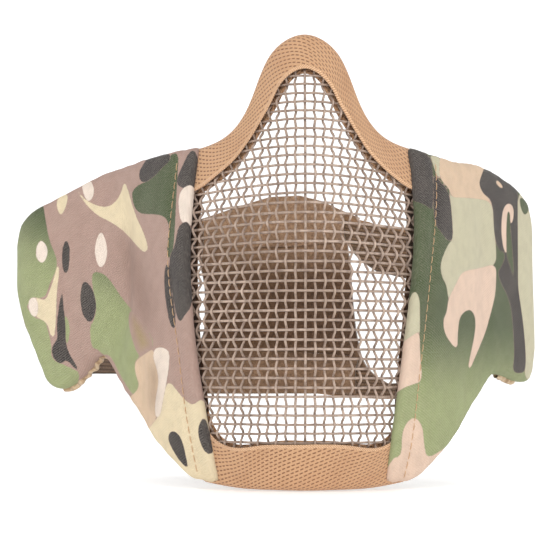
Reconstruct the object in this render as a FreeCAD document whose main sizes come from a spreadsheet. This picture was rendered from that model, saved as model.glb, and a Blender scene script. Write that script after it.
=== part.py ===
import FreeCAD
import Part
import Sketcher
import math
import os

"""Half-face mesh mask with padded cheeks, folding ear wings and an elastic rear harness.

Millimetres. The wearer looks along -Y, +X is to the right seen from the front and +Z is up.
The origin is the middle of the face opening, between the two fold lines. The mesh, its
bindings and the cheeks follow one formed surface, y = front_surface(x, z), and each layer
is a stated distance outside (+) or inside (-) it. The wings are flat strips that curl at
the rear and turn on the fold lines. The straps run from the wings to the rear patch.
"""

DIMENSIONS = {
    # formed front: the mid-line bows in side view, and each level is a rounded ridge
    "front_depth": 73, "profile_radius": 160, "ridge_radius": 20, "ridge_taper": 0.13, "side_slope": 1.0,
    # fold line between cheek and wing
    "hinge_x": 69.5, "hinge_y": 9, "hinge_slope": 2.14, "hinge_gap": 2.2, "fold_seam_radius": 1.4,
    "cheek_top_z": 38.5, "notch_z": -34,
    # layers, as distances from the formed surface
    "mesh_half": 0.8, "band_inner": 1.0, "band_outer": 2.1, "mesh_tuck": 9, "band_tuck": 41,
    "cover_inner": 3.9, "cover_outer": 5.1, "foam_outer": 3.6, "cheek_foam_inner": 1.1,
    "wing_foam_inner": -2.2, "lining_outer": -2.4, "lining_inner": -4.1,
    # wings, in the wing's own frame: +Y runs from the fold line to the ear
    "wing_flat": 38, "wing_curl_radius": 24, "wing_curl_angle": 70, "left_splay": 55, "right_splay": 27,
    "wing_rear_y": 66.5, "wing_rear_top_z": 27, "wing_rear_mid_z": -2,
    "wing_low_y": 22, "wing_low_end_y": 34.5, "wing_low_z": -44.5,
    "wing_top_corner": 16, "wing_low_corner": 8, "hem_width": 2.2, "hem_rim": 0.2, "hem_curl": 5.5,
    # rear patch, and the elastic straps that run to it
    "patch_x": -11, "patch_y": 46, "patch_z": -3.5, "patch_radius": 70, "patch_half": 1,
    "patch_height": 85,
    "patch_top_width": 58, "patch_low_width": 66, "patch_corner": 9, "patch_sweep": 66,
    "strap_half": 0.8, "strap_clearance": 0.3, "strap_gap": 1.5, "strap_turn_radius": 30,
    "upper_strap_width": 25, "upper_wing_z": 6.5, "upper_patch_z": 26,
    "lower_strap_width": 12, "lower_wing_z": -35, "lower_patch_z": -38,
    "lower_anchor_y": 33, "left_upper_sag": 0, "right_upper_sag": 0, "left_lower_sag": 1, "right_lower_sag": 7,
    "left_strap_rise": 2.2, "right_strap_rise": 1.5,
    # adjusters: a front frame and a rear bar that hold the strap between them
    "slider_length": 15, "slider_bar": 2.8, "slider_rail": 2.4, "slider_plate": 1.6, "slider_gap": 0.5,
    "slider_corner": 1.6, "slider_x": 56,
    # topstitching that holds each cover to the mesh edge
    "stitch_length": 3, "stitch_radius": 0.3, "stitch_count": 30,
}

# Front-view outlines (x, z) of the right half. The left half mirrors them.
NOSE_EDGE = [(0, 85), (5.4, 83.6), (10.8, 79.3), (14.4, 72.7),
             (18, 62.4), (22.4, 53.4), (28, 47.8), (37, 44.6)]
NOSE_INNER = [(0, 71.6), (6.3, 68.2), (10.9, 60.1), (17, 49.6), (24.6, 38.9), (33, 32), (37.4, 29.2)]
CHIN_EDGE = [(0, -80), (16, -79.6), (36, -78.6)]
CHIN_INNER = [(0, -62.8), (15, -63.3), (28, -63.6), (32.5, -60.5), (36.5, -51.5)]
WINDOW_EDGE = [(31.5, -79), (32.6, -62), (35.4, -40), (38.3, -15), (39.4, 6), (38.4, 28), (37, 44.6)]
JAW_EDGE = [(31.5, -79), (40.5, -76.5), (49.5, -69), (56, -59), (61.8, -47), (65.8, -39.5), (69.5, -34)]

STITCH_LINE = [(35.9, -77.5), (39, -57), (44.6, -33), (48.2, -8), (48.6, 20), (47, 42)]

LEFT = -1
RIGHT = 1
SIDES = {"left": LEFT, "right": RIGHT}


# ---------------------------------------------------------------- document and driving dimensions

doc = FreeCAD.newDocument("face_mask")
sizes = doc.addObject("Spreadsheet::Sheet", "Sizes")
for row, (alias, number) in enumerate(DIMENSIONS.items(), start=1):
    sizes.set(f"A{row}", alias)
    sizes.set(f"B{row}", str(number))
    sizes.setAlias(f"B{row}", alias)
doc.recompute()


def size(alias):
    """A driving dimension, read from the spreadsheet."""
    return float(sizes.get(alias))


# ---------------------------------------------------------------- curves and the formed surface


def spacing(points):
    """Curve parameters that follow the distances between points."""
    steps = [0]
    for before, after in zip(points, points[1:]):
        steps.append(steps[-1] + (after - before).Length)
    return [step / steps[-1] for step in steps]


def spline_through(points, parameters=None):
    """A function of 0..1, or of the given parameters, that passes through 2-D points."""
    vectors = [FreeCAD.Vector(a, b, 0) for a, b in points]
    curve = Part.BSplineCurve()
    curve.interpolate(Points=vectors, Parameters=parameters or spacing(vectors))

    def value(t):
        point = curve.value(t)
        return point.x, point.y

    return value


def mirrored(half):
    """The whole outline from the left end to the right end, from its right half."""
    return [(-x, z) for x, z in reversed(half[1:])] + half


window_curve = spline_through(WINDOW_EDGE, [z for x, z in WINDOW_EDGE])


def window_edge(z):
    """Half the width of the mesh window at a height."""
    low, high = WINDOW_EDGE[0][1], WINDOW_EDGE[-1][1]
    return window_curve(min(max(z, low), high))[0]


def ridge_depth(x, z):
    """The mesh: a rounded ridge whose nose is sharper than its chin."""
    middle = -size("front_depth") + z * z / (2 * size("profile_radius"))
    radius = size("ridge_radius") - size("ridge_taper") * z
    return middle + math.hypot(radius, size("side_slope") * x) - radius


def front_surface(x, z):
    """Depth of the formed surface: the mesh ridge, then a smooth run to the fold line."""
    across, edge = abs(x), window_edge(z)
    if across <= edge:
        return ridge_depth(across, z)
    span = size("hinge_x") - edge
    start = ridge_depth(edge, z)
    slope = (ridge_depth(edge, z) - ridge_depth(edge - 0.01, z)) / 0.01
    t = (across - edge) / span
    rise = size("hinge_y") - start
    return (start + slope * span * t + (3 * rise - (2 * slope + size("hinge_slope")) * span) * t * t
            + ((slope + size("hinge_slope")) * span - 2 * rise) * t ** 3)


def surface_point(x, z, offset=0):
    """The point of the formed surface seen at (x, z) from the front, moved out by offset."""
    step = 0.2
    slope_x = (front_surface(x + step, z) - front_surface(x - step, z)) / (2 * step)
    slope_z = (front_surface(x, z + step) - front_surface(x, z - step)) / (2 * step)
    normal = FreeCAD.Vector(slope_x, -1, slope_z).normalize()
    return FreeCAD.Vector(x, front_surface(x, z), z) + normal * offset


def surface_through(rows, row_steps, point_steps):
    """A smooth surface through a grid of points: a curve through each row, then across the rows."""
    lines = []
    for row in rows:
        line = Part.BSplineCurve()
        line.interpolate(Points=row, Parameters=point_steps)
        lines.append(line)
    columns = []
    for poles in zip(*(line.getPoles() for line in lines)):
        column = Part.BSplineCurve()
        column.interpolate(Points=list(poles), Parameters=row_steps)
        columns.append(column)
    grid = [list(poles) for poles in zip(*(column.getPoles() for column in columns))]
    surface = Part.BSplineSurface()
    surface.buildFromPolesMultsKnots(grid, columns[0].getMultiplicities(), lines[0].getMultiplicities(),
                                     columns[0].getKnots(), lines[0].getKnots(), False, False, 3, 3)
    return surface


def joining_strip(outer, inner):
    """The straight-ruled surface between two matching border curves."""
    strip = Part.BSplineSurface()
    strip.buildFromPolesMultsKnots([outer.getPoles(), inner.getPoles()], [2, 2], outer.getMultiplicities(),
                                   [0, 1], outer.getKnots(), False, False, 1, outer.Degree)
    return strip


def solid_between(outer_rows, inner_rows):
    """The solid between two surfaces, each through a grid of points."""
    middle = len(outer_rows) // 2
    point_steps = spacing(outer_rows[middle])
    row_steps = spacing([row[0] for row in outer_rows])
    faces, borders = [], []
    for rows in (outer_rows, inner_rows):
        surface = surface_through(rows, row_steps, point_steps)
        u_low, u_high, v_low, v_high = surface.bounds()
        faces.append(surface.toShape())
        borders.append([surface.uIso(u_low), surface.uIso(u_high),
                        surface.vIso(v_low), surface.vIso(v_high)])
    for outer, inner in zip(*borders):
        faces.append(joining_strip(outer, inner).toShape())
    shell = Part.makeShell(faces)
    shell.sewShape()
    solid = Part.makeSolid(shell)
    if solid.Volume < 0:
        solid.reverse()
    return solid


def shares(first, last, count):
    """count evenly spaced numbers from first to last."""
    return [first + (last - first) * i / (count - 1) for i in range(count)]


def add_shape(label, shape):
    """A sub-part whose form no feature makes."""
    feature = doc.addObject("Part::Feature", label)
    feature.Label = label
    feature.Shape = shape
    return feature


# ---------------------------------------------------------------- formed pieces


def coons(bottom, top, first, last, u, v):
    """A point of the 2-D patch inside four border curves."""
    corners = [bottom(0), bottom(1), top(0), top(1)]
    weights = [(1 - u) * (1 - v), u * (1 - v), (1 - u) * v, u * v]
    found = []
    for axis in (0, 1):
        lofted = ((1 - v) * bottom(u)[axis] + v * top(u)[axis]
                  + (1 - u) * first(v)[axis] + u * last(v)[axis])
        found.append(lofted - sum(weight * corner[axis] for weight, corner in zip(weights, corners)))
    return found


def mesh_panel():
    """The woven steel sheet, formed over nose and mouth and tucked under the cheek covers."""
    tuck, inset = size("mesh_tuck"), size("band_outer")
    nose = [(x, z - inset) for x, z in NOSE_EDGE] + [(37 + tuck, 44.6 - inset)]
    chin = [(x, z + inset) for x, z in CHIN_EDGE[:-1]] + [(31.5 + tuck, CHIN_EDGE[-1][1] + inset)]
    side = [chin[-1], (WINDOW_EDGE[2][0] + tuck, -40), (WINDOW_EDGE[4][0] + tuck, 6), nose[-1]]
    top = spline_through(mirrored(nose))
    bottom = spline_through(mirrored(chin))
    last = spline_through(side)
    first = spline_through([(-x, z) for x, z in side])
    grids = []
    for offset in (size("mesh_half"), -size("mesh_half")):
        grids.append([[surface_point(*coons(bottom, top, first, last, u, v), offset)
                       for v in shares(0, 1, 17)] for u in shares(0, 1, 27)])
    return solid_between(*grids)


def folded_band(edge_half, inner_half):
    """Webbing folded over an edge of the mesh: down its front, round the edge, up its back."""
    edge = spline_through(mirrored(edge_half))
    inner = spline_through(mirrored(inner_half))
    grids = []
    for radius in (size("band_outer"), size("band_inner")):
        rows = []
        for t in shares(0, 1, 33):
            (edge_x, edge_z), (inner_x, inner_z) = edge(t), inner(t)
            reach = math.hypot(inner_x - edge_x, inner_z - edge_z)
            inset = size("band_outer") / reach
            spots = [(edge_x + (inner_x - edge_x) * share, edge_z + (inner_z - edge_z) * share)
                     for share in (1, 0.75, 0.5, 0.25, inset)]
            front = [surface_point(x, z, radius) for x, z in spots]
            back = [surface_point(x, z, -radius) for x, z in reversed(spots)]
            centre = surface_point(*spots[-1])
            out = (front[-1] - centre).normalize()
            away = (centre - surface_point(*spots[-2])).normalize()
            fold = [centre + out * (radius * math.cos(turn)) + away * (radius * math.sin(turn))
                    for turn in (math.pi / 4, math.pi / 2, 3 * math.pi / 4)]
            rows.append(front + fold + back)
        grids.append(rows)
    return solid_between(*grids)


def cheek_layer(side, outer, inner, front_share=0.0, rim_share=0.0):
    """One layer of a cheek, between window edge, top edge, fold line and jaw edge."""
    hinge_x = size("hinge_x") - size("hinge_gap") / math.hypot(1, size("hinge_slope"))
    shrink = hinge_x / size("hinge_x")
    jaw = spline_through(JAW_EDGE)
    window = spline_through(WINDOW_EDGE)

    def bottom(u):
        x, z = jaw(u)
        return x * (1 + (shrink - 1) * u), z

    def top(u):
        return (37 + (hinge_x - 37) * u, 44.6 + (size("cheek_top_z") - 44.6) * u)

    def last(v):
        return hinge_x, size("notch_z") + (size("cheek_top_z") - size("notch_z")) * v

    grids = []
    for offset in (outer, inner):
        rows = []
        for u in shares(front_share, 1 - rim_share, 13):
            spots = [coons(bottom, top, window, last, u, v) for v in shares(rim_share, 1 - rim_share, 15)]
            rows.append([surface_point(side * x, z, offset) for x, z in spots])
        grids.append(rows)
    return solid_between(*grids)


def topstitch(side):
    """A row of stitches that lie on a cheek cover, beside its front edge."""
    line = spline_through(STITCH_LINE)
    lift = size("cover_outer") + size("stitch_radius") + 0.05
    count = int(size("stitch_count"))
    stitches = []
    for start in shares(0.01, 0.97, count):
        x, z = line(start)
        next_x, next_z = line(start + 0.02)
        begin, ahead = surface_point(side * x, z, lift), surface_point(side * next_x, next_z, lift)
        stitches.append(Part.makeCylinder(size("stitch_radius"), size("stitch_length"),
                                          begin, ahead - begin))
    return Part.makeCompound(stitches)


def add_formed_pieces():
    add_shape("mesh_panel", mesh_panel())
    add_shape("nose_binding", folded_band(NOSE_EDGE + [(size("band_tuck"), 43.9)],
                                          NOSE_INNER + [(size("band_tuck"), 28)]))
    add_shape("chin_band", folded_band(CHIN_EDGE, CHIN_INNER))
    for name, side in SIDES.items():
        cover = cheek_layer(side, size("cover_outer"), size("cover_inner"))
        foam = cheek_layer(side, size("foam_outer"), size("cheek_foam_inner"), 0.22, 0.03)
        lining = cheek_layer(side, size("lining_outer"), size("lining_inner"), 0.12)
        add_shape(f"{name}_cheek_cover", cover)
        add_shape(f"{name}_cheek_foam", foam)
        add_shape(f"{name}_cheek_lining", lining)
        add_shape(f"{name}_topstitch", topstitch(side))


# ---------------------------------------------------------------- sketch helpers


def origin_plane(body, role):
    return next(feature for feature in body.Origin.OriginFeatures if feature.Role == role)


def new_sketch(body, name, role, offset=0):
    """A sketch on one of the body's own origin planes, moved along its normal by offset."""
    sketch = body.newObject("Sketcher::SketchObject", name)
    sketch.AttachmentSupport = (origin_plane(body, role), [""])
    sketch.MapMode = "FlatFace"
    sketch.AttachmentOffset = FreeCAD.Placement(FreeCAD.Vector(0, 0, offset), FreeCAD.Rotation())
    return sketch


def plain(sketch, formula):
    """The number that a formula of the driving dimensions gives."""
    found = sketch.evalExpression(formula)
    return float(getattr(found, "Value", found))


def hold(sketch, element, point, formulas):
    """Fixes a point of the sketch at two formulas, measured from the sketch's origin."""
    for kind, formula in zip(("DistanceX", "DistanceY"), formulas):
        number = plain(sketch, formula)
        if abs(number) < 1e-9:
            axis = -2 if kind == "DistanceX" else -1
            sketch.addConstraint(Sketcher.Constraint("PointOnObject", element, point, axis))
        else:
            index = sketch.addConstraint(Sketcher.Constraint(kind, -1, 1, element, point, number))
            sketch.setExpression(f"Constraints[{index}]", formula)


def polygon(sketch, corners):
    """A closed outline whose corners are pairs of formulas."""
    spots = [FreeCAD.Vector(plain(sketch, a), plain(sketch, b), 0) for a, b in corners]
    first = len(sketch.Geometry)
    count = len(spots)
    for i, spot in enumerate(spots):
        sketch.addGeometry(Part.LineSegment(spot, spots[(i + 1) % count]), False)
    for i in range(count):
        sketch.addConstraint(Sketcher.Constraint("Coincident", first + i, 2, first + (i + 1) % count, 1))
    for i, formulas in enumerate(corners):
        hold(sketch, first + i, 1, formulas)


def rectangle(sketch, left, right, low, high):
    polygon(sketch, [(left, low), (right, low), (right, high), (left, high)])


def pad(body, name, sketch, length, both_ways=False):
    feature = body.newObject("PartDesign::Pad", name)
    feature.Profile = sketch
    feature.Midplane = both_ways
    feature.setExpression("Length", length)
    return feature


def round_corner(body, name, base, axis, spot, radius):
    """Rounds the edges of base that run along an axis through the given cross-axis spots."""
    doc.recompute()
    others = [i for i in range(3) if i != axis]
    edges = []
    for number, edge in enumerate(base.Shape.Edges, start=1):
        middle = edge.CenterOfMass
        along = edge.tangentAt(edge.FirstParameter)[axis]
        if abs(along) > 0.999 and all(abs(middle[i] - spot[i]) < 0.01 for i in others):
            edges.append(f"Edge{number}")
    feature = body.newObject("PartDesign::Fillet", name)
    feature.Base = (base, edges)
    feature.setExpression("Radius", radius)
    return feature


def new_body(name):
    body = doc.addObject("PartDesign::Body", name)
    body.Label = name
    return body


# ---------------------------------------------------------------- wings


def wing_strip(name, side, outer, inner, curl_angle):
    """A strip of the wing's section: straight from the fold line, then curled towards the head."""
    body = new_body(name)
    path = new_sketch(body, f"{name}_path", "XY_Plane")
    flat, radius = size("wing_flat"), size("wing_curl_radius")
    curl = math.radians(plain(path, curl_angle))
    centre = FreeCAD.Vector(-side * radius, flat, 0)
    turn = (0, curl) if side == RIGHT else (math.pi - curl, math.pi)
    start, end = (1, 2) if side == RIGHT else (2, 1)
    path.addGeometry(Part.LineSegment(FreeCAD.Vector(0, 0, 0), FreeCAD.Vector(0, flat, 0)), False)
    path.addGeometry(Part.ArcOfCircle(Part.Circle(centre, FreeCAD.Vector(0, 0, 1), radius), *turn), False)
    path.addConstraint(Sketcher.Constraint("Coincident", 0, 1, -1, 1))
    hold(path, 0, 2, ("0", "Sizes.wing_flat"))
    path.addConstraint(Sketcher.Constraint("Coincident", 0, 2, 1, start))
    hold(path, 1, 3, (f"{-side} * Sizes.wing_curl_radius", "Sizes.wing_flat"))
    rise = path.addConstraint(Sketcher.Constraint(
        "DistanceY", -1, 1, 1, end, flat + radius * math.sin(curl)))
    path.setExpression(f"Constraints[{rise}]",
                       f"Sizes.wing_flat + Sizes.wing_curl_radius * sin({curl_angle})")
    profile = new_sketch(body, f"{name}_profile", "XZ_Plane")
    near, far = sorted((f"{side} * {inner}", f"{side} * {outer}"), key=lambda f: plain(profile, f))
    rectangle(profile, near, far, "Sizes.wing_low_z - 5", "Sizes.cheek_top_z + 5")
    pipe = body.newObject("PartDesign::AdditivePipe", f"{name}_pipe")
    pipe.Profile = profile
    pipe.Spine = (path, ["Edge1", "Edge2"])
    return body


def wing_outline(name, margin, near_margin):
    """The wing's side view, as a block to cut a strip with."""
    body = new_body(name)
    sketch = new_sketch(body, f"{name}_sketch", "YZ_Plane")
    near, far = f"Sizes.hinge_gap + {near_margin}", f"Sizes.wing_rear_y - {margin}"
    top, low = f"Sizes.cheek_top_z - {margin}", f"Sizes.wing_low_z + {margin}"
    rear_top = f"Sizes.wing_rear_top_z - {margin}"
    low_end = f"Sizes.wing_low_end_y - {margin}"
    polygon(sketch, [(near, f"Sizes.notch_z + {margin}"), ("Sizes.wing_low_y", low), (low_end, low),
                     (far, f"Sizes.wing_rear_mid_z + {margin}"), (far, rear_top), (near, top)])
    block = pad(body, f"{name}_pad", sketch, "4 * Sizes.wing_flat", both_ways=True)
    upper = (0, plain(sketch, far), plain(sketch, rear_top))
    rounded = round_corner(body, f"{name}_upper", block, 0, upper, f"Sizes.wing_top_corner - {margin}")
    lower = (0, plain(sketch, low_end), plain(sketch, low))
    round_corner(body, f"{name}_lower", rounded, 0, lower, f"Sizes.wing_low_corner - {margin}")
    return body


def cut_or_keep(kind, label, base, tool):
    feature = doc.addObject(f"Part::{kind}", label)
    feature.Label = label
    feature.Base = base
    feature.Tool = tool
    return feature


def wing_placement(side):
    """From the wing's own frame to the fold line, splayed outwards."""
    splay = size("left_splay") if side == LEFT else size("right_splay")
    return FreeCAD.Placement(FreeCAD.Vector(side * size("hinge_x"), size("hinge_y"), 0),
                             FreeCAD.Rotation(FreeCAD.Vector(0, 0, 1), -side * splay))


def wing_piece(kind, label, side, strip, tool):
    piece = cut_or_keep(kind, label, strip, tool)
    piece.Placement = wing_placement(side)
    return piece


def add_wings():
    full_curl, short_curl = "Sizes.wing_curl_angle", "(Sizes.wing_curl_angle - Sizes.hem_curl)"
    whole = ("(Sizes.cover_outer + Sizes.hem_rim)", "(Sizes.lining_inner - Sizes.hem_rim)")
    hollow = ("(Sizes.cover_outer + 1)", "(Sizes.lining_inner - 1)")
    layers = {"cover": ("Sizes.cover_outer", "Sizes.cover_inner"),
              "foam": ("Sizes.foam_outer", "Sizes.wing_foam_inner"),
              "lining": ("Sizes.lining_outer", "Sizes.lining_inner")}
    outside = wing_outline("wing_outside", "0", "0")
    inside = wing_outline("wing_inside", "Sizes.hem_width", "-1")
    stuffing = wing_outline("wing_stuffing", "(Sizes.hem_width + 0.3)", "0.3")
    for name, side in SIDES.items():
        for layer, limits in layers.items():
            strip = wing_strip(f"{name}_{layer}_strip", side, *limits, f"({short_curl} - 0.7)")
            wing_piece("Common", f"{name}_wing_{layer}", side, strip, stuffing)
        blank = cut_or_keep("Common", f"{name}_hem_blank",
                            wing_strip(f"{name}_hem_strip", side, *whole, full_curl), outside)
        core = cut_or_keep("Common", f"{name}_hem_core",
                           wing_strip(f"{name}_core_strip", side, *hollow, short_curl), inside)
        wing_piece("Cut", f"{name}_wing_hem", side, blank, core)
        add_fold_seam(name, side)


def add_fold_seam(name, side):
    """The piped seam that a wing folds on."""
    seam = doc.addObject("Part::Cylinder", f"{name}_fold_seam")
    seam.Label = f"{name}_fold_seam"
    seam.setExpression("Radius", "Sizes.fold_seam_radius")
    seam.setExpression("Height", "Sizes.cheek_top_z - Sizes.notch_z - 4")
    seam.setExpression("Placement.Base.x", f"{side} * Sizes.hinge_x")
    seam.setExpression("Placement.Base.y", "Sizes.hinge_y")
    seam.setExpression("Placement.Base.z", "Sizes.notch_z + 2")


# ---------------------------------------------------------------- harness


def patch_layer(name, radius, half_thickness, margin):
    """A curved panel: a sector of a cylinder, cut to a rounded, slightly flared outline."""
    body = new_body(f"{name}_sector")
    section = new_sketch(body, f"{name}_section", "YZ_Plane")
    rectangle(section, f"{radius} - {half_thickness}", f"{radius} + {half_thickness}",
              "-Sizes.patch_height / 2", "Sizes.patch_height / 2")
    sector = body.newObject("PartDesign::Revolution", f"{name}_turn")
    sector.Profile = section
    sector.ReferenceAxis = (section, ["V_Axis"])
    sector.Midplane = True
    sector.setExpression("Angle", "Sizes.patch_sweep")
    outline = new_body(f"{name}_outline")
    sketch = new_sketch(outline, f"{name}_outline_sketch", "XZ_Plane")
    low, high = f"-Sizes.patch_height / 2 + {margin}", f"Sizes.patch_height / 2 - {margin}"
    wide, narrow = f"(Sizes.patch_low_width / 2 - {margin})", f"(Sizes.patch_top_width / 2 - {margin})"
    polygon(sketch, [(f"-{wide}", low), (wide, low), (narrow, high), (f"-{narrow}", high)])
    block = pad(outline, f"{name}_outline_pad", sketch, "4 * Sizes.patch_radius", both_ways=True)
    corners = [(wide, low), (narrow, high)]
    for number, (across, up) in enumerate(corners):
        for sign in (LEFT, RIGHT):
            spot = (sign * plain(sketch, across), 0, plain(sketch, up))
            block = round_corner(outline, f"{name}_corner_{number}_{sign + 1}", block, 1, spot,
                                 f"Sizes.patch_corner - {margin}")
    piece = cut_or_keep("Common", name, body, outline)
    piece.Placement = FreeCAD.Placement(
        FreeCAD.Vector(size("patch_x"), size("patch_y"), size("patch_z")), FreeCAD.Rotation())
    return piece


def upper_start(side):
    """Where an upper strap leaves the end of its wing, and its heading: from +X, mirrored to the left."""
    splay = math.radians(size("left_splay") if side == LEFT else size("right_splay"))
    last = splay - math.radians(size("wing_curl_angle"))
    flat, radius, gap = size("wing_flat"), size("wing_curl_radius"), size("strap_gap")
    out = size("hinge_x") + flat * math.sin(splay) + radius * (math.cos(last) - math.cos(splay))
    back = size("hinge_y") + flat * math.cos(splay) + radius * (math.sin(splay) - math.sin(last))
    return -out - gap * math.sin(last), back + gap * math.cos(last), math.pi / 2 + last


def lower_start(side):
    """Where a lower strap leaves the inner face of its wing, mirrored to the left."""
    splay = math.radians(size("left_splay") if side == LEFT else size("right_splay"))
    along, inside = size("lower_anchor_y"), size("strap_gap") - size("lining_inner")
    out = size("hinge_x") + along * math.sin(splay) - inside * math.cos(splay)
    return -out, size("hinge_y") + along * math.cos(splay) + inside * math.sin(splay)


def strap_plan(side, level):
    """A strap's plan path on the left side: an arc from the wing, a straight run, an arc on the patch.

    A lower strap has no first arc: it leaves its wing in line with its run.
    """
    rear = size("patch_radius") - size("patch_half") - size("strap_clearance") - size("strap_half")
    patch = (-side * size("patch_x") if side == RIGHT else size("patch_x"), size("patch_y"))
    if level == "upper":
        x, y, heading = upper_start(side)
        turn = size("strap_turn_radius")
        start = (x + turn * math.sin(heading), y - turn * math.cos(heading))
    else:
        start, turn, heading = lower_start(side), 0, None
    across, along = patch[0] - start[0], patch[1] - start[1]
    reach = math.hypot(across, along)
    run_heading = math.atan2(along, across) + math.asin((rear - turn) / reach)
    run = math.sqrt(reach ** 2 - (rear - turn) ** 2)
    return start, turn, heading or run_heading, run_heading, run, patch, rear


def strap_height(side, level, share):
    """Height of a strap's centre line: it rises late towards the patch, and sags if it is slack."""
    name = "left" if side == LEFT else "right"
    start, end = size(f"{level}_wing_z"), size(f"{level}_patch_z")
    rise, sag = size(f"{name}_strap_rise"), size(f"{name}_{level}_sag")
    return start + (end - start) * share ** rise - 4 * sag * share * (1 - share)


def strap_stations(side, level, count=41):
    """Points, tangents and outward normals along a strap, from the wing to the patch's middle."""
    centre_a, turn, heading, run_heading, run, centre_b, rear = strap_plan(side, level)
    first_arc, last_arc = turn * (heading - run_heading), rear * run_heading - size("strap_clearance") / 2
    total = first_arc + run + last_arc
    step = 0.001
    stations = []
    for length in shares(0, total, count):
        if length < first_arc:
            angle = heading - length / turn
            spot = (centre_a[0] - turn * math.sin(angle), centre_a[1] + turn * math.cos(angle))
        elif length < first_arc + run:
            angle, past = run_heading, length - first_arc
            spot = (centre_a[0] - turn * math.sin(angle) + past * math.cos(angle),
                    centre_a[1] + turn * math.cos(angle) + past * math.sin(angle))
        else:
            angle = run_heading - (length - first_arc - run) / rear
            spot = (centre_b[0] - rear * math.sin(angle), centre_b[1] + rear * math.cos(angle))
        share = length / total
        ahead, behind = min(share + step, 1), max(share - step, 0)
        climb = (strap_height(side, level, ahead) - strap_height(side, level, behind)) / (ahead - behind)
        tangent = FreeCAD.Vector(-side * math.cos(angle), math.sin(angle), climb / total).normalize()
        normal = FreeCAD.Vector(side * math.sin(angle), math.cos(angle), 0)
        stations.append((FreeCAD.Vector(-side * spot[0], spot[1], strap_height(side, level, share)),
                         tangent, normal))
    return stations


def strap(stations, width):
    """A flat elastic strap, cut so that its ends are upright."""
    up = FreeCAD.Vector(0, 0, 1)
    grids = []
    for offset in (size("strap_half"), -size("strap_half")):
        rows = []
        for spot, tangent, normal in stations:
            rows.append([spot + normal * offset + up * share for share in shares(-width / 2, width / 2, 5)])
        grids.append(rows)
    return solid_between(*grids)


def slider(name, width, spot, tangent, normal):
    """An adjuster: a front frame and a rear bar, with the strap between them."""
    body = new_body(name)
    gap = "(Sizes.strap_half + Sizes.slider_gap)"
    half_length = "Sizes.slider_length / 2"
    slot = f"({width} / 2 + Sizes.slider_gap)"
    half_width = f"({slot} + Sizes.slider_rail)"
    face = size("strap_half") + size("slider_gap")
    back = face + size("slider_plate")
    frame = new_sketch(body, f"{name}_frame", "XZ_Plane", face)
    rectangle(frame, f"-{half_length}", half_length, f"-{half_width}", half_width)
    rectangle(frame, f"-{half_length} + Sizes.slider_bar", f"{half_length} - Sizes.slider_bar",
              f"-{slot}", slot)
    front = pad(body, f"{name}_front", frame, "Sizes.slider_plate")
    for number, (low, high) in enumerate(((slot, half_width), (f"-{half_width}", f"-{slot}"))):
        rail = new_sketch(body, f"{name}_rail_{number}", "XZ_Plane", -back)
        rectangle(rail, f"-{half_length}", half_length, low, high)
        front = pad(body, f"{name}_side_{number}", rail, f"2 * {gap} + 2 * Sizes.slider_plate")
    bar = new_sketch(body, f"{name}_bar", "XZ_Plane", -back)
    rectangle(bar, "-Sizes.slider_bar / 2", "Sizes.slider_bar / 2", f"-{half_width}", half_width)
    bridged = pad(body, f"{name}_middle", bar, "Sizes.slider_plate")
    corner = bridged
    for across in (LEFT, RIGHT):
        for up in (LEFT, RIGHT):
            place = (across * plain(frame, half_length), 0, up * plain(frame, half_width))
            corner = round_corner(body, f"{name}_corner_{across + 1}{up + 1}", corner, 1, place,
                                  "Sizes.slider_corner")
    along = tangent if tangent.x > 0 else -tangent
    up_axis = along.cross(normal).normalize()
    body.Placement = FreeCAD.Placement(spot, FreeCAD.Rotation(along, normal, up_axis, "XYZ"))
    return body


def add_harness():
    patch_layer("rear_patch", "Sizes.patch_radius", "Sizes.patch_half", "0")
    for name, side in SIDES.items():
        for level in ("upper", "lower"):
            stations = strap_stations(side, level)
            add_shape(f"{name}_{level}_strap", strap(stations, size(f"{level}_strap_width")))
            place = min(stations[len(stations) // 4:],
                        key=lambda station: abs(abs(station[0].x) - size("slider_x")))
            slider(f"{name}_{level}_slider", f"Sizes.{level}_strap_width", *place)


# ---------------------------------------------------------------- build, check, write

add_formed_pieces()
add_wings()
add_harness()
doc.recompute()

NODES = ["mesh_panel", "nose_binding", "chin_band", "rear_patch"]
for side_name in SIDES:
    for piece_name in ("cheek_cover", "cheek_foam", "cheek_lining", "topstitch", "wing_cover", "wing_foam",
                       "wing_lining", "wing_hem", "fold_seam", "upper_strap", "lower_strap",
                       "upper_slider", "lower_slider"):
        NODES.append(f"{side_name}_{piece_name}")

for item in doc.Objects:
    if "Invalid" in item.State or "Error" in item.State:
        raise RuntimeError(f"{item.Label} failed: {item.State}")

os.makedirs("parts", exist_ok=True)
for node in NODES:
    shape = doc.getObjectsByLabel(node)[0].Shape
    if shape.isNull() or not shape.isValid() or not shape.Solids:
        raise RuntimeError(f"{node} has no valid solid")
    shape.exportStep(f"parts/{node}.step")
    print(f"{node}: {len(shape.Solids)} solid, {shape.Volume:.0f} mm3")
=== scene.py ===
import math

import bmesh
import bpy
import numpy as np
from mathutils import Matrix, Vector
from mathutils.bvhtree import BVHTree


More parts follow.
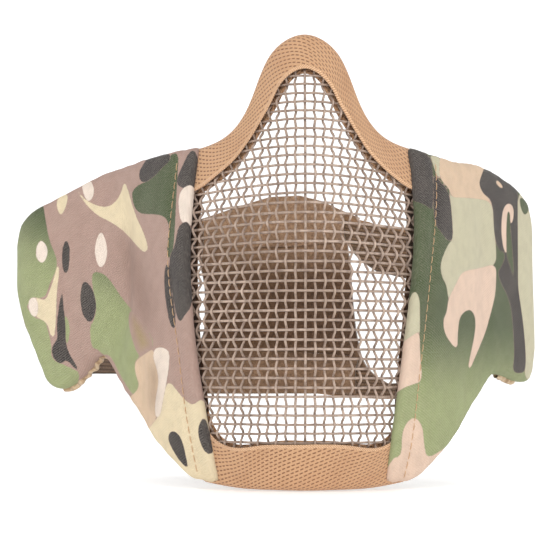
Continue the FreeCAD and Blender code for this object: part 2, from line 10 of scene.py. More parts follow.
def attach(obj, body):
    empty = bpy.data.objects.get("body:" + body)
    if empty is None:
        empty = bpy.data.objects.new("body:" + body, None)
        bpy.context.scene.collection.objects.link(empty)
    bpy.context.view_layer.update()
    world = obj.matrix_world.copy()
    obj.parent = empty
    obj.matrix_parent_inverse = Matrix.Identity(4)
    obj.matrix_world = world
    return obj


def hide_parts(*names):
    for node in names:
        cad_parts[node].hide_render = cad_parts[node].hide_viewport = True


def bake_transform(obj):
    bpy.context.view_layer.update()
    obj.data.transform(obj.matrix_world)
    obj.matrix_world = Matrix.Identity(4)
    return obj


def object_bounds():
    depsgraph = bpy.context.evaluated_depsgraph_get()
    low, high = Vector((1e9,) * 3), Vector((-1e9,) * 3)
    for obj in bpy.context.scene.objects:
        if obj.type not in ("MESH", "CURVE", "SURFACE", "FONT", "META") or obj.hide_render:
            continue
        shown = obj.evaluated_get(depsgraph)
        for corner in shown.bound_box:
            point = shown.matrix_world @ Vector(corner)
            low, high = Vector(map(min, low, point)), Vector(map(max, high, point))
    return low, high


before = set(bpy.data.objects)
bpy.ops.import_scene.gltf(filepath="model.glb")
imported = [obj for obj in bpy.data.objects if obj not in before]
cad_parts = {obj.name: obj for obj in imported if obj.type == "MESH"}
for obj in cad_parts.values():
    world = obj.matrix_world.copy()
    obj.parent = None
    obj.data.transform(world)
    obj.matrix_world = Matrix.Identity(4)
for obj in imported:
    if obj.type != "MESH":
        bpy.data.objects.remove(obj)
cad_low, cad_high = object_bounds()

# Lengths below are millimetres, and MM turns them into metres.
MM = 0.001

# ---------------------------------------------------------------- the object's own dimensions

FRONT_DEPTH, PROFILE_RADIUS = 73, 160
RIDGE_RADIUS, RIDGE_TAPER = 20, 0.13
HINGE_X, HINGE_Y, HINGE_SLOPE = 69.5, 9, 2.14
WING_FLAT, CURL_RADIUS, CURL_ANGLE = 38, 24, math.radians(70)
SPLAY = {"left": math.radians(55), "right": math.radians(27)}
SIDES = {"left": -1, "right": 1}
WIRE_PITCH, WIRE_RADIUS, WIRE_CRIMP = 3.5, 0.46, 0.95
SLIDER_X = 56
PATCH_X, PATCH_Y, PATCH_RADIUS, PATCH_HALF = -11, 46, 70, 1
STRAP_HALF, STRAP_CLEARANCE, STRAP_GAP = 0.8, 0.3, 1.5
LINING_DEPTH, LOWER_ANCHOR = 4.1, 33

# The photograph's view: how far in front the camera is, where it aims, and how steeply it looks up.
CAMERA_AWAY, TARGET_X, VIEW_RISE = 900, -10.8, 0.0436

# How finely the pieces are cut.
SIDE_ROWS, CHEEK_COLUMNS, WING_COLUMNS = 92, 66, 76
STRAP_STATIONS = 90
TUBE_SIDES = 6

# Front-view outlines (x, z) of the right half.
NOSE_EDGE = [(0, 85), (5.4, 83.6), (10.8, 79.3), (14.4, 72.7), (18, 62.4), (22.4, 53.4), (28, 47.8),
             (37, 44.6)]
NOSE_INNER = [(0, 71.6), (6.3, 68.2), (10.9, 60.1), (17, 49.6), (24.6, 38.9), (33, 32), (37.4, 29.2)]
CHIN_EDGE = [(0, -80), (16, -79.6), (36, -78.6)]
CHIN_INNER = [(0, -62.8), (15, -63.3), (28, -63.6), (32.5, -60.5), (36.5, -51.5)]
WINDOW_EDGE = [(31.5, -79), (32.6, -62), (35.4, -40), (38.3, -15), (39.4, 6), (38.4, 28), (37, 44.6)]

# The cover's outlines. The window and jaw edges are (x, z); the wing's are distance from the fold
# along the cloth, and height.
COVER_WINDOW = {
    "left": [(28, -79.5), (30.4, -68), (32.4, -56), (35.2, -40), (38.3, -15), (39.4, 6), (38.4, 28),
             (36.4, 47)],
    "right": [(26.5, -79.5), (28, -68), (29.5, -56), (31.5, -40), (35, -15), (37.4, 6), (37.6, 28),
              (35.6, 47)],
}
COVER_JAW = [(39.4, -77.3), (43.7, -73.4), (52, -64.5), (57, -57.2), (61, -50.8), (64.5, -46.4),
             (68, -40.8), (69.5, -37.6)]
COVER_TOP = {
    "left": [(36.4, 48.6), (43, 47.8), (50, 46.4), (60, 44.2), (69.5, 42)],
    "right": [(34.8, 48.6), (41, 47), (48, 44.9), (57, 43.4), (65, 43.2), (69.5, 42)],
}
WING_LOW = {
    "left": [(0, -37.8), (4, -31.8), (8, -28.2), (13, -31.4), (21, -39.2), (26, -42.8), (30, -44.2),
             (33.5, -43.4), (37, -38.5), (42.5, -27.5), (52, -12.5), (60, -1)],
    "right": [(0, -37.8), (6, -38), (12, -38.2), (25, -39.6), (38, -41.4), (45, -40.6), (50, -35),
              (54, -23), (60, -4)],
}
WING_TOP = {
    "left": [(0, 42), (10, 39.6), (20, 36), (30, 32.4), (40, 28.4), (48, 24.6), (55, 19.6), (60, 14)],
    "right": [(0, 42), (8, 41), (20, 38.6), (36, 34), (45, 27), (52, 20), (60, 12)],
}
# The stitched line on the covers' outer faces, from below (x, z).
SEAM_LINE = {
    "left": [(39, -76), (43.4, -52), (46.8, -24.7), (50.2, 6.6), (49, 21), (46.7, 43.6)],
    "right": [(35.9, -78), (37.4, -72), (41.4, -41.9), (44, -19.1), (47, 7.2), (48.5, 21.4), (48.9, 34.6),
              (48.6, 43)],
}


def lengths_along(points):
    """Distance along a path to each of its points."""
    return np.concatenate([[0], np.cumsum(np.linalg.norm(np.diff(points, axis=0), axis=1))])


def on_table(x, points):
    """Values at x, on straight lines between (x, value) points."""
    return np.interp(x, *zip(*points))


def curve_through(points, parameters=None):
    """A smooth function through points, of 0..1 along them or of the given parameters."""
    points = np.array(points, float)
    if parameters is None:
        steps = lengths_along(points)
        parameters = steps / steps[-1]
    t = np.array(parameters, float)
    gaps, count = np.diff(t), len(t)
    matrix, right = np.eye(count), np.zeros_like(points)
    for i in range(1, count - 1):
        matrix[i, i - 1:i + 2] = gaps[i - 1], 2 * (gaps[i - 1] + gaps[i]), gaps[i]
        right[i] = 6 * ((points[i + 1] - points[i]) / gaps[i] - (points[i] - points[i - 1]) / gaps[i - 1])
    bend = np.linalg.solve(matrix, right)

    def value(at):
        at = np.atleast_1d(np.asarray(at, float))
        i = np.clip(np.searchsorted(t, at, side="right") - 1, 0, count - 2)
        h, a, b = gaps[i][:, None], (t[i + 1] - at)[:, None], (at - t[i])[:, None]
        return ((bend[i] * a ** 3 + bend[i + 1] * b ** 3) / (6 * h)
                + (points[i] / h - bend[i] * h / 6) * a + (points[i + 1] / h - bend[i + 1] * h / 6) * b)

    return value


def mirrored(half):
    return [(-x, z) for x, z in reversed(half[1:])] + half


window_curve = curve_through(WINDOW_EDGE, [z for x, z in WINDOW_EDGE])


def window_edge(z):
    """Half the width of the mesh window at a height."""
    shape = np.shape(z)
    return window_curve(np.clip(np.ravel(z), -79, 44.6))[:, 0].reshape(shape)


def ridge(x, z):
    radius = RIDGE_RADIUS - RIDGE_TAPER * z
    return z * z / (2 * PROFILE_RADIUS) - FRONT_DEPTH + np.hypot(radius, x) - radius


def front_surface(x, z):
    """Depth of the formed surface: the mesh ridge, then a smooth run to the fold line."""
    x, z = np.abs(np.asarray(x, float)), np.asarray(z, float)
    edge = window_edge(z)
    start = ridge(edge, z)
    slope = (start - ridge(edge - 0.01, z)) / 0.01
    span, rise = HINGE_X - edge, HINGE_Y - start
    t = (x - edge) / span
    run = (start + slope * span * t + (3 * rise - (2 * slope + HINGE_SLOPE) * span) * t ** 2
           + ((slope + HINGE_SLOPE) * span - 2 * rise) * t ** 3)
    return np.where(x <= edge, ridge(x, z), run)


def surface_normal(x, z):
    step = 0.2
    slope_x = (front_surface(x + step, z) - front_surface(x - step, z)) / (2 * step)
    slope_z = (front_surface(x, z + step) - front_surface(x, z - step)) / (2 * step)
    normal = np.stack([slope_x, -np.ones_like(slope_x), slope_z], axis=-1)
    return normal / np.linalg.norm(normal, axis=-1, keepdims=True)


def surface_point(x, z, offset=0.0):
    x, z = np.broadcast_arrays(np.asarray(x, float), np.asarray(z, float))
    spot = np.stack([x, front_surface(x, z), z], axis=-1)
    return spot + surface_normal(x, z) * np.asarray(offset)[..., None]


def wing_point(side, along, z):
    """The wing's middle surface: flat from the fold line, then curling towards the head."""
    splay = SPLAY[side]
    past = np.maximum(along - WING_FLAT, 0) / CURL_RADIUS
    flat = np.minimum(along, WING_FLAT)
    out = HINGE_X + flat * math.sin(splay) + CURL_RADIUS * (np.cos(splay - past) - math.cos(splay))
    back = HINGE_Y + flat * math.cos(splay) + CURL_RADIUS * (math.sin(splay) - np.sin(splay - past))
    return np.stack([SIDES[side] * out, back, z], axis=-1)


# ---------------------------------------------------------------- mesh helpers


def unit(vectors):
    return vectors / np.maximum(np.linalg.norm(vectors, axis=-1, keepdims=True), 1e-9)


def smooth_step(value, low, high):
    t = np.clip((value - low) / (high - low), 0, 1)
    return t * t * (3 - 2 * t)


def resample(at, places, points):
    """A path's points, or the directions kept with them, at other places along it."""
    return np.stack([np.interp(at, places, points[:, k]) for k in range(3)], axis=-1)


def grid_shares(rows, columns):
    """Shares from 0 to 1 up the rows, and along the columns, of a grid."""
    return np.meshgrid(np.linspace(0, 1, rows), np.linspace(0, 1, columns), indexing="ij")


def noise_field(points, scale, seed):
    """Smooth repeatable noise from -1 to 1 at 3-D points, a sum of turned waves."""
    spread = np.random.default_rng(seed)
    total = np.zeros(points.shape[:-1])
    for _ in range(7):
        direction = unit(spread.normal(size=3)) * spread.uniform(0.6, 1.5) * 2 * math.pi / scale
        total += np.sin(points @ direction + spread.uniform(0, 2 * math.pi))
    return total / 3.2


def add_object(name, data):
    made = bpy.data.objects.new(name, data)
    bpy.context.collection.objects.link(made)
    return made


def make_mesh(name, points, faces, cloth=None, smooth=True):
    """A mesh object from millimetre points; cloth gives each point's place on the flat cloth."""
    mesh = bpy.data.meshes.new(name)
    mesh.from_pydata((np.asarray(points) * MM).tolist(), [], faces)
    if cloth is not None:
        layer = mesh.uv_layers.new(name="cloth")
        corner = np.empty(len(mesh.loops), np.int32)
        mesh.loops.foreach_get("vertex_index", corner)
        layer.data.foreach_set("uv", (np.asarray(cloth)[corner] * MM).astype(np.float32).ravel())
    if smooth:
        mesh.polygons.foreach_set("use_smooth", [True] * len(mesh.polygons))
    mesh.update()
    return add_object(name, mesh)


def grid_faces(rows, columns, start=0, close=False, flip=False):
    """Quads of a grid of points stored row by row."""
    faces = []
    for i in range(rows - 1):
        for j in range(columns if close else columns - 1):
            a, b = start + i * columns + j, start + i * columns + (j + 1) % columns
            c, d = b + columns, a + columns
            faces.append((a, d, c, b) if flip else (a, b, c, d))
    return faces


def tube_faces(count, size, start=0):
    """Quads round a tube of count rings of size points, and a cap on each end."""
    first_cap = tuple(range(start, start + size))
    last_cap = tuple(range(start + count * size - 1, start + (count - 1) * size - 1, -1))
    return grid_faces(count, size, start, close=True) + [first_cap, last_cap]


def sheet_piece(name, points, cloth, thickness, look):
    """A sheet of cloth through a grid of points."""
    piece = make_mesh(name, points.reshape(-1, 3), grid_faces(*points.shape[:2]), cloth.reshape(-1, 2))
    modifier = piece.modifiers.new("thickness", "SOLIDIFY")
    modifier.thickness, modifier.offset = thickness * MM, 0
    piece.data.materials.append(look)
    return piece


def store(piece, name, values):
    """Keeps a number at each of a piece's points, for its shader."""
    layer = piece.data.attributes.new(name, "FLOAT", "POINT")
    layer.data.foreach_set("value", np.asarray(values, np.float32))


def face_outward(piece):
    built = bmesh.new()
    built.from_mesh(piece.data)
    bmesh.ops.recalc_face_normals(built, faces=built.faces)
    built.to_mesh(piece.data)
    built.free()


def tube_rings(path, across, radius):
    """Rings of points round a path; across is the direction of the wire's own 'up'."""
    ahead = unit(np.gradient(path, axis=0))
    beside = unit(np.cross(ahead, across))
    up = np.cross(beside, ahead)
    turn = np.arange(TUBE_SIDES) * 2 * math.pi / TUBE_SIDES
    ring = np.cos(turn)[None, :, None] * beside[:, None] + np.sin(turn)[None, :, None] * up[:, None]
    return path[:, None] + ring * radius


# ---------------------------------------------------------------- material helpers


class Look:
    """A procedural material under construction."""

    def __init__(self, name, roughness=0.8, sheen=0.0, specular=0.3):
        self.material = bpy.data.materials.new(name)
        self.material.use_nodes = True
        self.tree = self.material.node_tree
        self.shader = self.tree.nodes["Principled BSDF"]
        self.shader.inputs["Roughness"].default_value = roughness
        self.shader.inputs["Sheen Weight"].default_value = sheen
        self.shader.inputs["Sheen Roughness"].default_value = 0.5
        self.shader.inputs["Specular IOR Level"].default_value = specular

    def put(self, socket, value):
        if isinstance(value, bpy.types.NodeSocket):
            self.tree.links.new(value, socket)
        else:
            socket.default_value = value

    def node(self, kind, **settings):
        made = self.tree.nodes.new(kind)
        for key, value in settings.items():
            setattr(made, key, value)
        return made

    def cloth(self):
        """Place on the flat cloth, in metres."""
        return self.node("ShaderNodeUVMap", uv_map="cloth").outputs[0]

    def place(self):
        return self.node("ShaderNodeTexCoord").outputs["Object"]

    def value_of(self, name):
        return self.node("ShaderNodeAttribute", attribute_name=name).outputs["Fac"]

    def maths(self, kind, first, second=0.0):
        made = self.node("ShaderNodeMath", operation=kind)
        self.put(made.inputs[0], first)
        self.put(made.inputs[1], second)
        return made.outputs[0]

    def add(self, first, second):
        return self.maths("ADD", first, second)

    def less(self, first, second):
        return self.maths("SUBTRACT", first, second)

    def times(self, first, second):
        return self.maths("MULTIPLY", first, second)

    def split(self, vector):
        made = self.node("ShaderNodeSeparateXYZ")
        self.put(made.inputs[0], vector)
        return made.outputs

    def noise(self, vector, size_mm, detail=3.0, roughness=0.55):
        """Noise from 0 to 1 whose features are about size_mm across."""
        made = self.node("ShaderNodeTexNoise")
        self.put(made.inputs["Vector"], vector)
        made.inputs["Scale"].default_value = 1 / (size_mm * MM)
        made.inputs["Detail"].default_value = detail
        made.inputs["Roughness"].default_value = roughness
        return made.outputs["Fac"]

    def ramp(self, value, low, high, to_low=0.0, to_high=1.0):
        made = self.node("ShaderNodeMapRange", interpolation_type="SMOOTHSTEP")
        for socket, number in zip(made.inputs, (value, low, high, to_low, to_high)):
            self.put(socket, number)
        return made.outputs[0]

    def mix(self, share, first, second):
        made = self.node("ShaderNodeMix", data_type="RGBA")
        self.put(made.inputs["Factor"], share)
        for socket, colour in ((made.inputs[6], first), (made.inputs[7], second)):
            self.put(socket, (*colour, 1.0) if isinstance(colour, tuple) else colour)
        return made.outputs[2]

    def wave(self, position, period_mm, phase=0.0):
        """0 to 1 and back along a coordinate in metres."""
        turned = self.add(self.times(position, 2 * math.pi / (period_mm * MM)), phase)
        return self.add(self.times(self.maths("SINE", turned), 0.5), 0.5)

    def bump(self, height, depth_mm, strength=1.0, below=None):
        made = self.node("ShaderNodeBump")
        made.inputs["Strength"].default_value = strength
        made.inputs["Distance"].default_value = depth_mm * MM
        self.put(made.inputs["Height"], height)
        if below is not None:
            self.put(made.inputs["Normal"], below)
        return made.outputs[0]

    def finish(self, colour, normal=None, roughness=None):
        self.put(self.shader.inputs["Base Color"], (*colour, 1.0) if isinstance(colour, tuple) else colour)
        if normal is not None:
            self.put(self.shader.inputs["Normal"], normal)
        if roughness is not None:
            self.put(self.shader.inputs["Roughness"], roughness)
        return self.material


def tone(red, green, blue):
    """A colour given as it looks on a screen, 0 to 255, as the shader's linear colour."""
    return tuple(((c / 255 + 0.055) / 1.055) ** 2.4 for c in (red, green, blue))


# ---------------------------------------------------------------- camouflage print

CAMO_TONES = {
    "mauve": tone(166, 136, 125),
    "green": tone(60, 76, 42),
    "sand": tone(221, 204, 170),
    "dark": tone(40, 35, 38),
    "cream": tone(230, 214, 200),
    "khaki": tone(190, 184, 156),
    "bronze": tone(158, 134, 92),
    "pink": tone(218, 190, 170),
    "peach": tone(210, 182, 154),
}
CAMO_BASE = {"left": "mauve", "right": "green"}


# The print is drawn in the front view, in millimetres (x, z), later patches over earlier ones.


def outline(text):
    """The points of an outline written as x,z x,z and so on."""
    return [tuple(float(number) for number in spot.split(",")) for spot in text.split()]


CAMO = {
    "left": [
        ("green", outline("""
            -117,16 -111,26 -101.5,33 -99.5,22.5 -99,18.5 -97.5,12 -95,6.5 -95,2 -98,-4 -99,-8 -101.5,-9
            -105,-9.5 -106,-12 -112,-14 -117,-5.5 -118,3.5
        """)),
        ("green", outline("""
            -111.5,-4.5 -105.5,-14 -103,-17 -99.5,-17 -98,-22.5 -97,-27 -97,-32.5 -92.5,-34.5 -89,-36
            -85.5,-38 -88,-45 -94.5,-47 -99,-41 -105.5,-24.5
        """)),
        ("sand", outline("""
            -94.5,5 -94,1 -95,-5.5 -95.5,-24.5 -97.5,-23 -98.5,-18.5 -102,-16.5 -104.5,-16 -106,-12
            -105.5,-9 -103,-8.5 -99.5,-10 -98,-7 -96,-1
        """)),
        ("cream", outline("-105.5,-9 -103,-8.5 -102,-12 -102.5,-16 -104.5,-16 -106,-12.5")),
        ("green", outline("-92,-14.5 -90,-18.5 -90,-24.5 -91.5,-28 -92.5,-22.5")),
        ("dark", outline("""
            -93,-5.5 -92.5,-11 -91.5,-19.5 -91.5,-26.5 -90,-30.5 -86,-37 -88,-36 -91,-32.5 -93.5,-34.5
            -96,-32.5 -97,-29 -96,-26.5 -94.5,-24.5 -95,-19.5 -94,-11
        """)),
        ("sand", outline("-95.5,29.5 -91,32 -91,28 -93,23 -94.5,24")),
        ("dark", outline("-91.5,14 -90,11 -90,6.5 -90.5,1.5 -92,0.5 -93,3.5 -93,10")),
        ("cream", outline("-101,13.5 -99,11.5 -98.5,8.5 -99.5,5.5 -101,4.5 -103,6.5 -103,10.5 -102,12.5")),
        ("cream", outline("-78,17 -76.5,14.5 -75.5,10 -76,5 -78,2.5 -79.5,4.5 -80.5,9.5 -79.5,14.5")),
        ("sand", outline("""
            -88,33.5 -85,30 -81.5,27.5 -76.5,26 -73,27.5 -70.5,31 -69,36.5 -67.5,32.5 -66,27 -64,21.5
            -62,17.5 -59.5,10.5 -61,8.5 -63.5,10.5 -68.5,16.5 -74,20.5 -79.5,23 -84,27.5
        """)),
        ("cream", outline("-85.5,35.5 -82,37 -80.5,33 -81.5,29 -83.5,28.5 -85,32")),
        ("green", outline("""
            -51.5,46.5 -48,47.5 -48.5,38.5 -49,28 -50,7.5 -52.5,6 -52.5,11 -51.5,17.5 -52.5,22 -56,23.5
            -62,23.5 -64.5,25 -66,29 -66,32.5 -63.5,35 -60.5,36 -57,39.5 -54.5,43
        """)),
        ("dark", outline("""
            -60,45.5 -56,47.5 -51,47 -51.5,44 -54.5,41.5 -57,38.5 -61,35.5 -63,36.5 -63.5,39.5 -62,42.5
        """)),
        ("dark", outline("-43,49.5 -40,45 -40.5,32 -48,34 -49,36.5 -47,41.5")),
        ("cream", outline("-43,35 -41,32 -41,21.5 -43.5,18.5 -47,20 -48,25 -48,31 -46,34")),
        ("dark", outline("""
            -48,20 -43,21 -41.5,3.5 -42.5,-11.5 -45.5,-15.5 -48,-19 -50,-9.5 -51.5,-1 -51.5,7.5 -49.5,11
        """)),
        ("dark", outline("-53.5,3.5 -51.5,4.5 -51,-5.5 -49.5,-13 -49,-20 -50.5,-21 -52,-16 -53.5,-6.5")),
        ("cream", outline("-53,5 -52.5,4.5 -53,3.5 -53.5,4.5")),
        ("dark", outline("-84,-2 -81,-5.5 -79.5,-11 -80.5,-17 -82.5,-18.5 -85,-15.5 -86,-9.5 -85.5,-4")),
        ("green", outline("""
            -81,1.5 -76.5,0.5 -73,-4 -69.5,-9.5 -64.5,-15 -61,-19.5 -59,-22.5 -57,-27.5 -61,-30
            -63,-31.5 -65,-33.5 -64.5,-38.5 -61.5,-44 -64,-48.5 -70,-39.5 -73,-33 -75,-30.5 -77,-31
            -79,-28.5 -81,-28.5 -82,-24.5 -82,-19.5 -80.5,-17.5 -79.5,-12 -81,-5.5 -81.5,-2
        """)),
        ("bronze", outline("-66.5,-12.5 -61,-19 -57,-27.5 -61,-30 -63.5,-31.5 -66,-24.5 -67.5,-18")),
        ("peach", outline("""
            -65,-33.5 -61,-30.5 -57,-28 -56,-33.5 -55.5,-41 -57,-50.5 -56,-58 -64,-60 -69,-49
            -62.5,-43.5 -64.5,-38.5
        """)),
        ("sand", outline("""
            -52,-40 -47.5,-46 -44,-49.5 -42,-50 -39,-47.5 -36.5,-50.5 -34.5,-62 -31,-76 -28,-88 -38,-90
            -48,-83 -57,-74 -62,-62 -55,-54 -54,-47.5
        """)),
        ("cream", outline("""
            -57,-28 -53.5,-28 -51.5,-29.5 -51.5,-33.5 -52.5,-41 -54,-48.5 -55,-54.5 -57,-55 -57,-48.5
            -55.5,-41 -56.5,-35.5 -58,-31.5
        """)),
        ("dark", outline("""
            -51.5,-60.5 -49,-60 -46.5,-63.5 -45,-70 -44,-75 -47.5,-71.5 -50,-67.5 -52,-63.5
        """)),
        ("dark", outline("-39,-55.5 -37.5,-55 -35.5,-62 -34,-68.5 -37.5,-69 -40,-63.5 -40.5,-59")),
    ],
    "right": [
        ("dark", outline("""
            40,49.5 45,48.5 49.5,45.5 50,42 50.5,33 50,25 49,26 45.5,28 42.5,28.5 40.5,33 40,39.5
        """)),
        ("khaki", outline("49,46.5 53,45.5 54.5,43 53.5,40.5 54.5,36.5 52,38 51,40.5 50,44")),
        ("peach", outline("""
            53.5,49 58.5,50 65.5,50 71.5,46 71,40 69,37.5 68,35 69.5,31.5 72,29.5 73.5,26 68,29.5
            61.5,30 57.5,30 56.5,33.5 53.5,36.5 52.5,40.5
        """)),
        ("khaki", outline("""
            56.5,33 57.5,30 61.5,30 68,29.5 72,28.5 73.5,25.5 73.5,19 74.5,11 74.5,3.5 68,2.5 61.5,1.5
            59.5,-2.5 58,-9.5 56,-9.5 55.5,-4 53.5,-0.5 53,4 54.5,8.5 56.5,12.5 58,13.5 57.5,23.5
        """)),
        ("dark", outline("""
            50.5,39.5 53,36 55.5,33.5 57,29 57.5,23.5 58,16.5 57.5,13 55.5,13.5 53.5,16.5 51,19.5
            50.5,25 50.5,33
        """)),
        ("pink", outline("""
            74.5,4.5 74.5,-2.5 74,-8.5 72,-16 70.5,-21.5 68.5,-26.5 65.5,-33.5 64.5,-36 63.5,-35.5
            64.5,-31 66.5,-21.5 66.5,-16 64.5,-13 61.5,-14.5 60,-17.5 59.5,-24.5 59.5,-28.5 57.5,-27
            54.5,-22.5 54,-17 55.5,-14.5 56,-9.5 58,-5.5 59.5,-2.5 61.5,1.5 68,2.5
        """)),
        ("khaki", outline("""
            82.5,33 89,32 95,24 96,13.5 96,-5.5 96,-24.5 93,-44 85.5,-40.5 85.5,-34.5 85,-24.5 84,-15
            82.5,-5.5 82.5,7.5
        """)),
        ("green", outline("83.5,31 88,27 86,22.5 84,25.5")),
        ("dark", outline("""
            71.5,45 77,42.5 81,37 83,33 83,28.5 83,20 83,1 83,-5.5 84.5,-15 85.5,-24.5 86,-34.5 85,-38
            80.5,-37.5 81.5,-31 81,-21.5 80.5,-14 79,-8 76.5,-3.5 75,1 77,4 78,7 77.5,9 75.5,9.5 74,14.5
            73.5,20 73.5,25 72.5,29.5 69.5,31.5 68,35 68.5,37.5
        """)),
        ("pink", outline("""
            77,24.5 78.5,27.5 80.5,27.5 81.5,25 81,20.5 80,20 80,24.5 79,24.5 78.5,19 78.5,12.5 79,8
            77.5,9.5 76.5,16.5
        """)),
        ("green", outline("79,25 80,24 80,20 80.5,13.5 81,7.5 81.5,-1.5 80,3 78.5,7.5 78.5,12.5 78.5,19")),
        ("peach", outline("75,37 77.5,34 76.5,33.5 74.5,35.5")),
        ("khaki", outline("43,-5.5 45,-9 45,-15 45,-24.5 42,-28.5 37.5,-28 38.5,-18.5 40.5,-10.5")),
        ("pink", outline("42,-23.5 45,-21.5 45,-31 46,-41 42.5,-42 38.5,-43.5 35,-46 36,-34.5 37.5,-26.5")),
        ("pink", outline("""
            43,-54.5 46,-58 46.5,-65.5 47.5,-70.5 52,-68.5 63,-60 61,-68 52.5,-77.5 43,-83 35,-85.5
            29,-85.5 31.5,-76 34.5,-70.5 38,-69 38,-61 40,-56.5
        """)),
        ("green", outline("36,-59.5 38,-62 38,-65.5 37.5,-69.5 36,-70.5 34.5,-68.5 34,-64 35,-61")),
    ],
}


def rounded(points, rounds=2):
    """A closed outline with its corners cut back until it runs smoothly."""
    points = np.array(points, float)
    for _ in range(rounds):
        ahead = np.roll(points, -1, axis=0)
        points = np.stack([points * 0.75 + ahead * 0.25, points * 0.25 + ahead * 0.75], axis=1).reshape(-1, 2)
    return points


def patch_distance(x, z, outline):
    """Distance in millimetres to a closed outline, negative inside it."""
    best = np.full(x.shape, 1e3)
    inside = np.zeros(x.shape, bool)
    for (ax, az), (bx, bz) in zip(outline, np.roll(outline, -1, axis=0)):
        run_x, run_z = bx - ax, bz - az
        share = np.clip(((x - ax) * run_x + (z - az) * run_z) / max(run_x ** 2 + run_z ** 2, 1e-9), 0, 1)
        best = np.minimum(best, np.hypot(x - ax - share * run_x, z - az - share * run_z))
        if az != bz:
            inside ^= ((az > z) != (bz > z)) & (x < ax + (z - az) * run_x / run_z)
    return np.where(inside, -best, best)


def print_camouflage(piece, side, seen):
    """Stores, for each tone, the distance to its patches, so the shader can draw crisp edges."""
    away = CAMERA_AWAY + seen[:, 1]
    x = (seen[:, 0] - TARGET_X) * CAMERA_AWAY / away + TARGET_X
    z = (seen[:, 2] - VIEW_RISE * seen[:, 1]) * CAMERA_AWAY / away
    fields = {name: np.full(x.shape, 40.0) for name in CAMO_TONES}
    fields[CAMO_BASE[side]][:] = -40.0
    for colour, outline in CAMO[side]:
        gap = patch_distance(x, z, rounded(outline))
        for name in fields:
            fields[name] = np.minimum(fields[name], gap) if name == colour else np.maximum(fields[name], -gap)
    if side == "left":
        fields["fade"] = smooth_step(0.5 * (-x - 62) - z, -8, 22)
    else:
        fields["fade"] = smooth_step(-z, 16, 52)
    # painted shade in the broad dent beside the left fold and in the slack crease low on the left cheek, kept
    # as a field for the shader
    hollow = np.exp(-((x + 63.5 + 0.25 * (z + 4)) / 4.6) ** 2) * np.exp(-((z + 3) / 17) ** 4)
    fields["hollow"] = hollow + np.exp(-((x + 57.5) / 2.3) ** 2) * np.exp(-((z + 43) / 9.5) ** 4)
    for name, field in fields.items():
        store(piece, f"camo_{name}", field)


def camouflage_look():
    look = Look("camouflage_twill", roughness=0.88, sheen=0.06, specular=0.12)
    cloth = look.cloth()
    u, v = look.split(cloth)[0:2]
    wander = look.times(look.less(look.noise(cloth, 1.2, 3), 0.5), 0.5)
    colour = CAMO_TONES["mauve"]
    for name, tint in CAMO_TONES.items():
        blur = 2.2 if name == "bronze" else 0.2
        inside = look.ramp(look.add(look.value_of(f"camo_{name}"), wander), 0.2, 0.2 - 2 * blur)
        if name == "green":
            tint = look.mix(look.value_of("camo_fade"), tint, tone(146, 155, 108))
        colour = look.mix(inside, colour, tint)
    # the twill's fine diagonal ribs, thread by thread
    rib = look.wave(look.add(look.times(v, 1.1), look.times(u, 0.6)), 1.1)
    thread = look.wave(look.add(u, v), 0.9)
    weave = look.add(look.times(rib, 0.72), look.times(thread, 0.28))
    # painted highlight on the twill's ribs, and the cloth is uneven in fine specks
    speck = look.ramp(look.noise(cloth, 0.7, 2, 0.6), 0.35, 0.75, 0.0, 0.09)
    shade = look.add(look.ramp(weave, 0.2, 1.0, 0.0, 0.09), speck)
    colour = look.mix(shade, colour, tone(236, 226, 212))
    worn = look.ramp(look.noise(cloth, 14, 5, 0.62), 0.35, 0.72, 0.0, 0.06)
    colour = look.mix(worn, colour, tone(196, 184, 168))
    dusk = look.ramp(look.noise(cloth, 5, 4), 0.35, 0.72, 0.0, 0.1)
    colour = look.mix(dusk, colour, tone(60, 50, 44))
    # painted shade: the stored field darkens the cloth in the dent and the crease
    colour = look.mix(look.times(look.value_of("camo_hollow"), 0.3), colour, tone(92, 62, 46))
    slub = look.bump(look.noise(cloth, 3.2, 4), 0.28, 0.55)
    normal = look.bump(look.add(weave, speck), 0.12, 0.9, slub)
    return look.finish(colour, normal, look.ramp(worn, 0.0, 0.1, 0.84, 0.93))


# ---------------------------------------------------------------- padded cheek and wing covers


def coons(bottom, top, first, last, u, v):
    """Points inside four border curves, for arrays u and v of one shape."""
    shape = u.shape
    u, v = u.ravel(), v.ravel()
    corners = [bottom([0.0]), bottom([1.0]), top([0.0]), top([1.0])]
    weights = [(1 - u) * (1 - v), u * (1 - v), (1 - u) * v, u * v]
    found = ((1 - v)[:, None] * bottom(u) + v[:, None] * top(u)
             + (1 - u)[:, None] * first(v) + u[:, None] * last(v))
    for weight, corner in zip(weights, corners):
        found = found - weight[:, None] * corner
    return found.reshape(*shape, 2)


